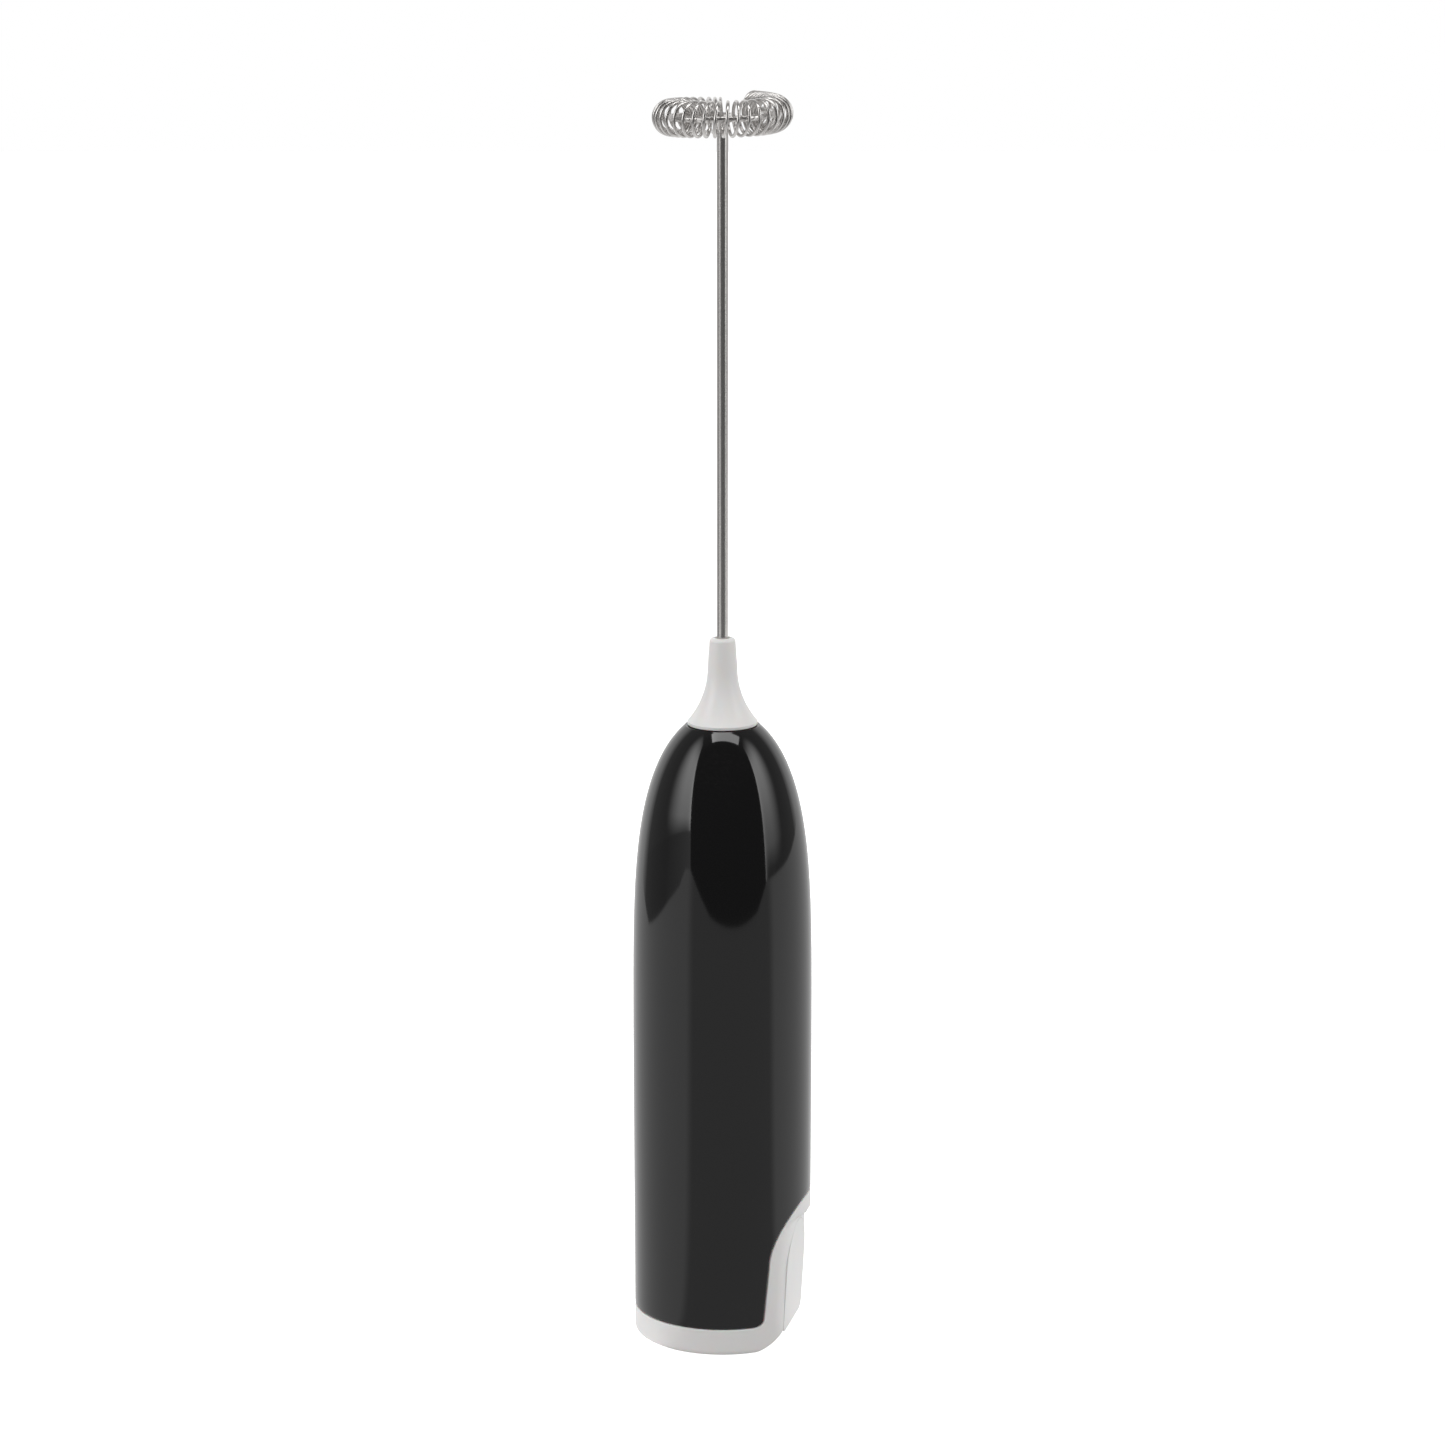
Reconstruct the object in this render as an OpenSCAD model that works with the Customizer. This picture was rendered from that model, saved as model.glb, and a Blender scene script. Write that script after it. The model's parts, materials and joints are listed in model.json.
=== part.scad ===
// Hand-held milk frother, standing on the end of its handle with the whisk up.
// Millimetres. Z runs up the axis of the handle and shaft, and z = 0 is the surface it stands on.
// The thumb button faces +X. The two cells lie side by side along Y.

/* [Handle] */
// Outer radius of the handle at its widest
handle_r = 16; // [15.9:0.1:17]
// Outer radius of the white base ring
base_r = 15.86; // [15.7:0.02:15.9]
// Height at which the handle starts to close in
dome_z = 46.7; // [40:0.1:50]
// Height of the dome's virtual apex above dome_z
dome_l = 67.9; // [67:0.1:70]
// How square the shoulder of the dome is
dome_power = 4.73; // [4.2:0.01:5]
// Height of the shell's tip, where the nose cone sits
tip_z = 112; // [111:0.1:113]
// Radius of the bore that takes the battery cradle
bore_r = 14.75; // [14.6:0.01:14.8]
// Thickness of the dome
dome_wall = 1.2; // [1:0.1:1.6]

/* [Base and arch] */
// Height of the base ring
ring_h = 4.85; // [4:0.05:5]
// Half width of the arch, carried on down to the underside
arch_foot = 12.25; // [11.8:0.05:12.5]
// Radius of the round top of the arch
arch_r = 11.25; // [11:0.05:11.5]
// Height of the centre of that round top
arch_z = 15.5; // [14:0.1:17]
// Radius of the corner where arch and ring meet
corner_r = 1.3; // [1:0.1:2.4]
// Clearance between the shell and the arch
arch_gap = 0.12; // [0.08:0.01:0.2]
// Distance from the axis to the arch's flat face, at the underside
face_x = 12.82; // [12.6:0.01:12.9]
// How far the flat face leans out, per unit of height
face_lean = 0.058; // [0.05:0.002:0.06]
// Height at which the flat face curves out to the round of the handle
face_top = 21.4; // [21.2:0.1:21.8]
// Radius of the rounded underside below the button
toe_r = 8.5; // [8:0.1:9]

/* [Thumb button] */
// Half width of the button, and the radius of its round top
button_r = 7.3; // [7:0.05:7.4]
// Height of the centre of its round top
button_mid = 13.7; // [13.4:0.1:13.8]
// Lowest point of the button
button_z = 2.1; // [1.7:0.05:2.3]
// Radius of the button's lower corners
button_corner = 1.7; // [1.3:0.1:2.6]
// How far the button's face stands proud of the flat
button_proud = 0.1; // [0:0.02:0.15]
// Thickness of the button's plate
button_t = 1.5; // [1.3:0.05:1.5]
// Gap around the button
button_gap = 0.25; // [0.15:0.05:0.3]
// Distance from the axis to the button's hinge pin
hinge_x = 10.8; // [10.7:0.05:10.9]
// Height of the hinge pin
hinge_z = 19.6; // [19.4:0.1:19.8]

/* [Nose cone] */
// Radius of the cone's lower rim
cone_rim_r = 6.2; // [6:0.1:6.4]
// Height of the cone's top
cone_top = 127.6; // [126.8:0.1:129]
// Radius of the hole that the whisk shaft turns in
cone_bore_r = 1.25; // [1.1:0.05:1.4]

/* [Whisk] */
// Radius of the whisk shaft
shaft_r = 1; // [0.9:0.05:1.1]
// Height of the middle of the whisk ring
ring_z = 218.65; // [200:0.05:225]
// Radius of the whisk ring, to the middle of its coil
ring_r = 8.95; // [8:0.05:10]
// Radius of the coil, to the middle of its wire
coil_r = 2.9; // [2.4:0.05:3.2]
// Radius of the coil's wire
coil_wire_r = 0.29; // [0.2:0.01:0.35]
// Rise of the ring from its start to its free end
ring_rise = 1.3; // [0:0.05:2]
// Radius of the hoop wire that the coil is threaded on
hoop_wire_r = 0.55; // [0.4:0.05:0.7]
// Number of open turns in the coil
open_turns = 30; // [20:1:32]

/* [Cells and motor] */
// Radius of a cell with its sleeve
cell_r = 7.1; // [7:0.05:7.15]
// Length of a cell's case
cell_l = 49.3; // [49:0.1:49.5]
// Distance from the axis to each cell's middle
cell_y = 7.2; // [7.15:0.01:7.25]
// Outer radius of the motor
motor_r = 10.2; // [9.5:0.1:10.4]
// Radius of the motor shaft
motor_shaft_r = 1; // [0.75:0.05:1]

/* [Hidden] */
$fn = 72;
tiny = 0.05;

// Battery cradle and cells
floor_t = 1.6;                    // base cap's floor
collar_r = 14.55;                 // collar that the shell slides over
collar_in = 13.5;
collar_top = 8;
cradle_z = floor_t + 0.1;         // underside of the cradle's disc
cradle_top = 3.4;                 // top of that disc, where the contacts lie
strip_t = 0.4;                    // thickness of the contact strips
cell_z = 5;                       // lower end of both cell cases
cell_top = cell_z + cell_l;
nub_r = 2.75;
nub_h = 1.2;
sleeve_t = 0.1;
cell_clear = 0.15;                // room around a cell in its cradle
post_x = 9;                       // outer face of the cradle's posts
bridge_z = cell_top + 1.7;        // underside of the bar over the cells
bridge_t = 1.8;
screw_x = 7.9;
screw_r = 0.95;

// Opening for the button and the switch behind it
opening_x = 9.7;                  // back of the opening through the base's floor
toe_x = 6.55;                     // centre of the rounded underside
toe_z = toe_r - 0.4;
wall_x = 9.9;                     // front of the wall that carries the fixed contacts
tab_x = wall_x + 0.3;             // front of those contacts
pad_x = tab_x + 1.05;             // back of the bridge that closes them
pad_t = 0.3;
pin_r = 0.75;
pin_end = 9.4;                    // half length of the hinge pin
ear_r = 1.5;
ear_t = 1.4;

// Contact carrier and motor
carrier_z = 58.4;
carrier_t = 1.8;
plate_z = cell_top + nub_h + tiny;
end_cap_z = 63;
can_z = 65.5;
can_front = 89.5;
can_wall = 0.6;
can_front_t = 0.8;
boss_r = 3;
boss_top = 91.6;
bush_r = 2.4;
bush_bore = motor_shaft_r + 0.03;
holder_top = can_front + can_front_t + 1.2;
motor_screw_y = 5.6;
shaft_foot = 61.9;
coupler_z = 94.5;
coupler_top = 108;
coupler_r = 2.4;
shaft_joint = 101.2;              // motor shaft ends here and the whisk shaft starts

// Whisk
hoop_start = 88;                  // direction in which the hoop's spoke leaves the shaft
spoke_z = ring_z - ring_rise / 2;
spoke_bend = 1.4;
hoop_bend = 2.2;
coil_start = hoop_start + atan(hoop_bend / ring_r) + 2;
coil_end = 430;
tight_step = 5.9;                 // degrees per turn where the coil is closed up
tight_first = 2;
tight_last = 5;
coil_turns = tight_first + open_turns + tight_last;
open_step = (coil_end - coil_start - (tight_first + tight_last) * tight_step) / open_turns;

// Radius of the handle's outer face at height z
function handle_radius(z) =
    (base_r + (handle_r - base_r) * min(z / dome_z, 1))
    * sqrt(1 - pow(max(z - dome_z, 0) / dome_l, dome_power));

// Heights up the dome, closer together towards the tip
function dome_heights(top, n = 26) =
    [for (i = [0 : n]) let (f = 1 - pow(1 - i / n, 1.8)) dome_z + (top - dome_z) * f];

function arc_points(cx, cy, r, a0, a1, n = 12) =
    [for (i = [0 : n]) let (a = a0 + (a1 - a0) * i / n) [cx + r * cos(a), cy + r * sin(a)]];

function unit(v) = v / norm(v);

// Direction of a path at point i
function heading(p, i) = unit(p[min(i + 1, len(p) - 1)] - p[max(i - 1, 0)]);

// One ring of a swept wire: ref is any direction across the path
function wire_ring(c, t, ref, r, sides) =
    let (u = unit(ref - (ref * t) * t), v = cross(t, u))
    [for (k = [0 : sides - 1]) c + r * (cos(360 * k / sides) * u + sin(360 * k / sides) * v)];

// Round wire of radius r along the points of path; refs holds one direction across it for each point
module wire(path, refs, r, sides = 8) {
    n = len(path);
    points = [for (i = [0 : n - 1]) each wire_ring(path[i], heading(path, i), refs[i], r, sides)];
    walls = [for (i = [0 : n - 2]) for (k = [0 : sides - 1])
        let (a = i * sides + k, b = i * sides + (k + 1) % sides)
        each [[a, a + sides, b + sides], [a, b + sides, b]]];
    first = [for (k = [0 : sides - 1]) k];
    last = [for (k = [sides - 1 : -1 : 0]) (n - 1) * sides + k];
    polyhedron(points, concat(walls, [first, last]));
}

module tube(r_out, r_in, z0, z1) {
    translate([0, 0, z0])
        difference() {
            cylinder(r = r_out, h = z1 - z0);
            translate([0, 0, -1]) cylinder(r = r_in, h = z1 - z0 + 2);
        }
}

module rod(r, z0, z1) {
    translate([0, 0, z0]) cylinder(r = r, h = z1 - z0);
}

module box(low, high) {
    translate(low) cube(high - low);
}

// Distance from the axis to the arch's flat face at height z
function face_at(z) = face_x + face_lean * z;

// Half width of the arch's straight sides at height z
function arch_half(z) = arch_foot + (arch_r - arch_foot) * z / arch_z;

// Extrudes an outline drawn in the XZ plane along Y, centred on y = 0
module across_y(width) {
    rotate([90, 0, 0]) translate([0, 0, -width / 2]) linear_extrude(width) children();
}

// Cylinder along Y
module cross_pin(r, x, z, y0, y1) {
    translate([x, y0, z]) rotate([-90, 0, 0]) cylinder(r = r, h = y1 - y0, $fn = 48);
}

// Extrudes an outline drawn in the YZ plane along +X from x0
module along_x(x0, length) {
    translate([x0, 0, 0]) rotate([90, 0, 90]) linear_extrude(length) children();
}

// Arch shape: sides that lean in, a round top, and a concave corner at each side where it meets
// the ring at height z0; grow widens it all round
module arch_outline(grow, z0) {
    foot = arch_half(z0) + grow;
    polygon([[-arch_foot - grow, 0], [arch_foot + grow, 0],
             [arch_r + grow, arch_z], [-arch_r - grow, arch_z]]);
    translate([0, arch_z]) circle(arch_r + grow, $fn = 96);
    for (side = [-1, 1]) difference() {
        polygon([[side * (foot - 0.5), z0], [side * (foot + corner_r), z0],
                 [side * (foot + corner_r), z0 + corner_r], [side * (foot - 0.5), z0 + corner_r]]);
        translate([side * (foot + corner_r), z0 + corner_r]) circle(corner_r, $fn = 48);
    }
}

// Button shape: round top, straight sides and rounded lower corners down to height low
module button_outline(grow, low, corner) {
    half = button_r + grow;
    polygon([[-half, low + corner], [half, low + corner], [half, button_mid], [-half, button_mid]]);
    translate([0, button_mid]) circle(half, $fn = 96);
    polygon([[corner - half, low], [half - corner, low], [half - corner, low + corner + 1],
             [corner - half, low + corner + 1]]);
    for (side = [-1, 1]) translate([side * (half - corner), low + corner]) circle(corner, $fn = 48);
}

module at_cells() {
    for (side = [-1, 1]) translate([0, side * cell_y, 0]) children();
}

// ---- Base, cradle and cells ----

module base_cap() {
    panel_in = 13.6;
    edge = 0.8;
    scoop_r = 2;
    color("whitesmoke") difference() {
        union() {
            rotate_extrude($fn = 144) polygon(concat(
                [[0, 0]], arc_points(base_r - edge, edge, edge, -90, 0, 6),
                [[base_r, ring_h], [collar_r, ring_h], [collar_r, collar_top],
                 [collar_in, collar_top], [collar_in, floor_t], [0, floor_t]]));
            intersection() {
                rotate_extrude($fn = 144) polygon([[panel_in, floor_t], [handle_radius(floor_t), floor_t],
                    [handle_radius(30), 30], [panel_in, 30]]);
                along_x(5, 15) arch_outline(0, ring_h - tiny);
            }
        }
        // flat face of the arch, curving out at its top
        across_y(40) polygon(concat([[face_at(-1), -1]],
            arc_points(face_at(face_top) + scoop_r, face_top, scoop_r, 180, 90, 10),
            [[20, face_top + scoop_r], [20, -1]]));
        // rounded underside
        across_y(40) polygon(concat([[20, -1]], [[toe_x + sqrt(toe_r * toe_r - toe_z * toe_z), -1]],
            arc_points(toe_x, toe_z, toe_r, -acos((sqrt(toe_r * toe_r - toe_z * toe_z)) / toe_r), -30, 12),
            [[20, toe_z - toe_r / 2]]));
        // opening that the button moves in
        along_x(opening_x, 12) button_outline(button_gap, -10, 1);
        along_x(7, 12) button_outline(button_gap, floor_t, 1);
        at_cells() rod(cell_r + cell_clear, 3.3, collar_top + 1);
        cross_pin(pin_r, hinge_x, hinge_z, -pin_end - 0.05, pin_end + 0.05);
        for (sign = [-1, 1]) translate([sign * screw_x, 0, 0]) {
            rod(2.2, -1, 0.9);
            rod(screw_r + 0.15, -1, floor_t + 1);
        }
    }
}

module cradle_post(sign) {
    translate([0, 0, cradle_top - tiny]) linear_extrude(bridge_z + bridge_t - cradle_top + tiny)
        polygon([[sign * 4.4, -1.5], [sign * 7.2, -4.6], [sign * post_x, -4.6],
                 [sign * post_x, 4.6], [sign * 7.2, 4.6], [sign * 4.4, 1.5]]);
}

module battery_cradle() {
    color("dimgray") difference() {
        union() {
            difference() {
                rod(collar_in - 0.2, cradle_z, cradle_top);
                box([post_x + 0.2, -20, 0], [20, 20, 10]);
            }
            cradle_post(1);
            cradle_post(-1);
            box([-12.6, -0.8, cradle_top - tiny], [-post_x + tiny, 0.8, bridge_z + bridge_t]);
            box([-post_x, -1.9, bridge_z], [post_x, 1.9, bridge_z + bridge_t]);
            box([post_x - 1, -4.5, cradle_top - tiny], [wall_x, 4.5, 12]);
        }
        at_cells() rod(cell_r + cell_clear, cradle_top, bridge_z - 0.6);
        for (sign = [-1, 1]) translate([sign * screw_x, 0, 0]) rod(screw_r, 0, 8.4);
    }
}

// Pan-head self-tapping screw with a cross recess, head down
module pan_screw(r, head_r, head_h, length) {
    difference() {
        union() {
            rod(head_r, 0, head_h);
            rod(r, 0, length - 0.6);
            translate([0, 0, length - 0.6]) cylinder(r1 = r, r2 = 0.3, h = 0.6);
        }
        for (a = [0, 90]) rotate([0, 0, a])
            box([-head_r * 0.55, -0.2, -1], [head_r * 0.55, 0.2, head_h * 0.5]);
    }
}

module cradle_screws() {
    color("silver")
        for (sign = [-1, 1]) translate([sign * screw_x, 0, 0.1]) pan_screw(screw_r, 1.9, 0.8, 8.2);
}

module hinge_pin() {
    color("silver") cross_pin(pin_r, hinge_x, hinge_z, -pin_end, pin_end);
}

// Steel case of a cell with its nub up; the crimped foot is slightly smaller than the case
module cell_can() {
    case_r = cell_r - sleeve_t;
    rotate_extrude() polygon([
        [0, 0.2], [4.4, 0.2], [4.7, 0], [case_r - 0.5, 0], [case_r, 0.5],
        [case_r, cell_l - 0.6], [case_r - 0.6, cell_l], [case_r - 1.5, cell_l],
        [case_r - 1.7, cell_l - 0.3], [nub_r + 0.4, cell_l - 0.3], [nub_r, cell_l],
        [nub_r, cell_l + nub_h - 0.25], [nub_r - 0.25, cell_l + nub_h], [0, cell_l + nub_h]]);
}

module cell_can_left() {
    color("silver") translate([0, -cell_y, cell_top]) mirror([0, 0, 1]) cell_can();
}

module cell_can_right() {
    color("silver") translate([0, cell_y, cell_z]) cell_can();
}

module cell_sleeve() {
    tube(cell_r, cell_r - sleeve_t, cell_z + 0.5, cell_top - 0.6);
}

module cell_sleeve_left() {
    color("steelblue") translate([0, -cell_y, 0]) cell_sleeve();
}

module cell_sleeve_right() {
    color("steelblue") translate([0, cell_y, 0]) cell_sleeve();
}

// Contact strip below a cell, bent up in front of the switch wall; side is the cell's side in Y
module contact_strip(side) {
    scale_y = [1, side, 1];
    lows = [[-3.5, 4.7, cradle_top], [-3.5, 4.7, cradle_top], [wall_x, 1, cradle_top]];
    highs = [[4.5, 9.7, cradle_top + strip_t], [tab_x, 5.9, cradle_top + strip_t],
             [tab_x, 5.9, cradle_top + strip_t]];
    mirror([0, side < 0 ? 1 : 0, 0]) {
        for (i = [0 : 2]) box(lows[i], highs[i]);
        box([wall_x, 1, cradle_top], [tab_x, 4.3, 9.6]);
    }
}

module plus_strip() {
    color("gold") contact_strip(-1);
}

module minus_strip() {
    color("gold") contact_strip(1);
}

// Conical spring from radius r0 at z0 to r1 at z1
module cone_spring(r0, r1, z0, z1, turns, wire_r) {
    n = ceil(turns * 12);
    path = [for (i = [0 : n]) let (f = i / n, a = 360 * turns * f, r = r0 + (r1 - r0) * f)
        [r * cos(a), r * sin(a), z0 + wire_r + (z1 - z0 - 2 * wire_r) * f]];
    refs = [for (i = [0 : n]) let (a = 360 * turns * i / n) [cos(a), sin(a), 0]];
    wire(path, refs, wire_r, 6);
}

module base_spring() {
    color("silver") translate([0, cell_y, 0])
        cone_spring(3.8, 2.2, cradle_top + strip_t, cell_z, 2.2, 0.3);
}

// ---- Thumb button ----

module thumb_button() {
    front = button_proud;
    back = button_proud - button_t;
    color("whitesmoke") difference() {
        union() {
            intersection() {
                along_x(5, 12) button_outline(0, button_z, button_corner);
                across_y(20) polygon([[face_at(0) + back, 0], [face_at(0) + front, 0],
                                      [face_at(30) + front, 30], [face_at(30) + back, 30]]);
            }
            for (y0 = [-4, 4 - ear_t]) {
                cross_pin(ear_r, hinge_x, hinge_z, y0, y0 + ear_t);
                box([hinge_x, y0, hinge_z - ear_r], [face_at(hinge_z) - 0.7, y0 + ear_t, hinge_z]);
            }
            box([pad_x + pad_t, -2.2, 6.5], [face_at(6.5) - 0.7, 2.2, 9.5]);
        }
        cross_pin(pin_r + 0.05, hinge_x, hinge_z, -7, 7);
    }
}

module contact_bridge() {
    color("gold") box([pad_x, -3.9, 6.4], [pad_x + pad_t, 3.9, 9.6]);
}

// Spring wound on the hinge pin, with one leg on the button and one on the cradle
module torsion_spring() {
    wire_r = 0.22;
    turn_r = pin_r + 0.4;
    turns = 4;
    span = 1.8;
    per_turn = 12;
    foot = [post_x + 0.75, -span, 14.2];
    start_leg = [for (i = [0 : 3]) foot + ([hinge_x - turn_r, -span, hinge_z] - foot) * i / 4];
    coil = [for (i = [0 : turns * per_turn + 6]) let (a = 180 + 360 * i / per_turn,
            y = -span + 2 * span * i / (turns * per_turn + 6))
        [hinge_x + turn_r * cos(a), y, hinge_z - turn_r * sin(a)]];
    end_leg = [for (i = [1 : 4]) [hinge_x + turn_r - 0.15 * i / 4, span, hinge_z - 5 * i / 4]];
    path = concat(start_leg, coil, end_leg);
    refs = [for (p = path) [0, 1, 0]];
    color("silver") wire(path, refs, wire_r, 6);
}

// ---- Housing ----

module housing_shell() {
    shell_z = ring_h + tiny;
    inner_top = tip_z - 1.6;
    heights = dome_heights(tip_z);
    inner = dome_heights(inner_top);
    outer_points = concat([[handle_radius(shell_z), shell_z]],
        [for (z = heights) [handle_radius(z), z]]);
    inner_points = [for (i = [len(inner) - 1 : -1 : 0]) let (z = inner[i])
        [min(bore_r, handle_radius(z) - dome_wall), z]];
    color("#151515") difference() {
        rotate_extrude($fn = 144) polygon(concat(outer_points,
            [[5, tip_z], [5, inner_top]], inner_points, [[bore_r, shell_z]]));
        along_x(5, 15) arch_outline(arch_gap, shell_z - tiny);
    }
}

module nose_cone() {
    flare_r = 14.9;
    flare_z = cone_top - 5.27;
    flare_x = 2.65 + flare_r;
    rim_z = tip_z + tiny;
    top_edge = 0.7;
    flare_end = 180 + asin((flare_z - rim_z - 0.6) / flare_r);
    color("whitesmoke") rotate_extrude($fn = 96) polygon(concat(
        [[4.9, rim_z], [cone_rim_r, rim_z]],
        arc_points(flare_x, flare_z, flare_r, flare_end, 180, 20),
        arc_points(2.33 - top_edge, cone_top - top_edge, top_edge, 0, 90, 6),
        [[cone_bore_r, cone_top], [cone_bore_r, tip_z + 9], [3, tip_z + 2.5], [3.4, tip_z - 3.4],
         [4.9, tip_z - 3.4]]));
}

module motor_holder() {
    sleeve_r = motor_r + 0.1;
    rib_t = 1.4;
    color("gainsboro") difference() {
        union() {
            rod(sleeve_r + 1.2, carrier_z + carrier_t + 0.1, holder_top);
            tube(14.5, sleeve_r, carrier_z + carrier_t + 0.1, carrier_z + carrier_t + 1.7);
            for (a = [0 : 90 : 270]) rotate([0, 0, a])
                rotate([90, 0, 0]) translate([0, 0, -rib_t / 2]) linear_extrude(rib_t)
                    polygon([[sleeve_r + 0.6, 61], [14.4, 61], [14.2, 76], [13.2, 88], [12.2, holder_top],
                             [sleeve_r + 0.6, holder_top]]);
        }
        rod(sleeve_r, 50, can_front + can_front_t);
        rod(boss_r + 0.3, 50, 100);
        for (sign = [-1, 1]) translate([0, sign * motor_screw_y, 0]) rod(screw_r + 0.15, 80, 100);
    }
}

module motor_screws() {
    color("silver") for (sign = [-1, 1]) translate([0, sign * motor_screw_y, holder_top + 0.8])
        mirror([0, 0, 1]) pan_screw(screw_r, 1.9, 0.8, 3.2);
}

module contact_carrier() {
    color("dimgray") difference() {
        rod(14.45, carrier_z, carrier_z + carrier_t);
        box([-3.1, 6.2, 50], [-2.5, 8.2, 70]);
        translate([-4, -cell_y, 50]) cylinder(r = 0.6, h = 20);
        for (a = [45 : 90 : 315]) rotate([0, 0, a]) translate([12, 0, 50]) cylinder(r = 1.2, h = 20);
    }
}

// Bent strip that touches the right cell's nub and passes up through the carrier
module top_plate() {
    color("gold") {
        box([-3, 5.4, plate_z], [3, 9, plate_z + 0.3]);
        box([-3, 5.4, plate_z], [-2.7, 9, carrier_z]);
        box([-3, 6.4, carrier_z - 1], [-2.7, 8, carrier_z + carrier_t + 1.2]);
    }
}

// Conical spring that presses on the left cell, with its tail through the carrier
module top_spring() {
    color("silver") {
        translate([0, -cell_y, 0]) mirror([0, 0, 1])
            cone_spring(2.2, 4, -carrier_z, -cell_top - tiny, 4, 0.35);
        translate([0, -cell_y, 0]) {
            rod_y = [-4, 0];
            box([-4.3, -0.3, carrier_z - 0.7], [-2, 0.3, carrier_z - 0.1]);
            translate([rod_y[0], rod_y[1], carrier_z - 0.7]) cylinder(r = 0.35, h = carrier_t + 1.9);
        }
    }
}

// Short insulated wire from a contact's tail to a motor terminal
module lead(from, bulge, to) {
    n = 12;
    path = [for (i = [0 : n]) let (f = i / n)
        pow(1 - f, 2) * from + 2 * f * (1 - f) * bulge + pow(f, 2) * to];
    refs = [for (p = path) [0, 0, 1]];
    wire(path, refs, 0.45, 8);
}

module lead_red() {
    color("firebrick") lead([-2.42, 7.2, 60.85], [1.5, 9.8, 61.3], [4.65, 6.6, 61.4]);
}

module lead_black() {
    color("black") lead([-3.4, -7.2, 60.85], [1.5, -9.8, 61.3], [4.65, -6.6, 61.4]);
}

// ---- Motor ----

module motor_can() {
    color("silver") difference() {
        union() {
            rod(motor_r, can_z, can_front + can_front_t);
            rod(boss_r, can_front, boss_top);
        }
        rod(motor_r - can_wall, can_z - 1, can_front);
        rod(bush_r, can_z, boss_top - 0.2);
        rod(bush_bore + 0.2, can_z, boss_top + 1);
        for (sign = [-1, 1]) translate([0, sign * motor_screw_y, 0]) rod(screw_r, can_z, 100);
        for (a = [0, 180]) rotate([0, 0, a]) box([motor_r - 2, -2.2, can_front - 7], [motor_r + 1, 2.2, can_front - 4]);
    }
}

// Plastic end of the motor, with its two terminals' slots and the seat of the rear bush
module motor_end_cap() {
    color("ivory") difference() {
        union() {
            rod(motor_r - can_wall - 0.05, end_cap_z, can_z + 0.6);
            rod(motor_r, end_cap_z, can_z - 0.02);
            rod(bush_r + 0.9, end_cap_z - 1.2, can_z);
        }
        rod(bush_r, end_cap_z - 0.9, 80);
        rod(bush_bore + 0.2, 50, 80);
        tube(motor_r - 1.8, bush_r + 2.6, can_z - 0.9, 80);
        for (sign = [-1, 1]) box([4.9, sign * 6.3 - 1.05, 50], [5.5, sign * 6.3 + 1.05, 80]);
    }
}

module motor_magnets() {
    color("#3a3a3e") difference() {
        tube(motor_r - can_wall - 0.02, 7.7, 69, 86);
        for (a = [0, 90]) rotate([0, 0, a * 2]) linear_extrude(200)
            polygon([[0, 0], [20, -8.5], [20, 8.5]]);
    }
}

// Two carbon brushes on spring strips, each with its terminal through the end cap
module motor_brushes() {
    color("#4a3a30") for (sign = [-1, 1]) {
        box([-1, sign * 2.9 - 0.6, 66.9], [1, sign * 2.9 + 0.6, 68.8]);
        box([1, sign * 3.65 - 0.15, 66.9], [5.3, sign * 3.65 + 0.15, 68.8]);
        box([-1, sign * 3.65 - 0.15, 66.9], [1.1, sign * 3.65 + 0.15, 68.8]);
        box([5, min(sign * 3.5, sign * 7.2), 66.9], [5.3, max(sign * 3.5, sign * 7.2), 68.8]);
        box([5, sign * 6.3 - 0.9, 60.9], [5.3, sign * 6.3 + 0.9, 67]);
    }
}

module front_bush() {
    color("#8c6d3f") tube(bush_r, bush_bore, can_front - 1.2, boss_top - 0.2);
}

module rear_bush() {
    color("#8c6d3f") tube(bush_r, bush_bore, end_cap_z - 0.9, 65.2);
}

// ---- Rotor and whisk ----

module motor_shaft() {
    color("silver") rod(motor_shaft_r, shaft_foot + 0.4, shaft_joint - 0.1);
}

// Three-pole iron core
module rotor_core() {
    color("gray") translate([0, 0, 71]) difference() {
        linear_extrude(14) {
            circle(2.8);
            for (a = [0 : 120 : 240]) rotate(a) {
                translate([0, -1.1]) square([6.6, 2.2]);
                intersection() {
                    difference() {
                        circle(7.4);
                        circle(6.1);
                    }
                    polygon([[0, 0], [12, -11], [12, 11]]);
                }
            }
        }
        translate([0, 0, -1]) cylinder(r = motor_shaft_r, h = 20);
    }
}

// Copper coils around the three poles
module rotor_windings() {
    color("#b5622c") for (a = [0 : 120 : 240]) rotate([0, 0, a]) difference() {
        intersection() {
            box([3.1, -3.1, 69.9], [6, 3.1, 86.1]);
            rod(6, 60, 90);
        }
        box([0, -1.12, 70.98], [10, 1.12, 85.02]);
    }
}

module commutator() {
    color("#b5622c") difference() {
        tube(2.25, motor_shaft_r, 66.7, 69.7);
        for (a = [0 : 120 : 240]) rotate([0, 0, a]) box([1.6, -0.2, 66], [3, 0.2, 68.9]);
    }
}

// Fibre washers that set the rotor's end play
module shaft_washers() {
    color("peru") {
        tube(1.9, motor_shaft_r, 65.4, 66.5);
        tube(1.9, motor_shaft_r, 86.6, can_front - 1.4);
    }
}

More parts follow.
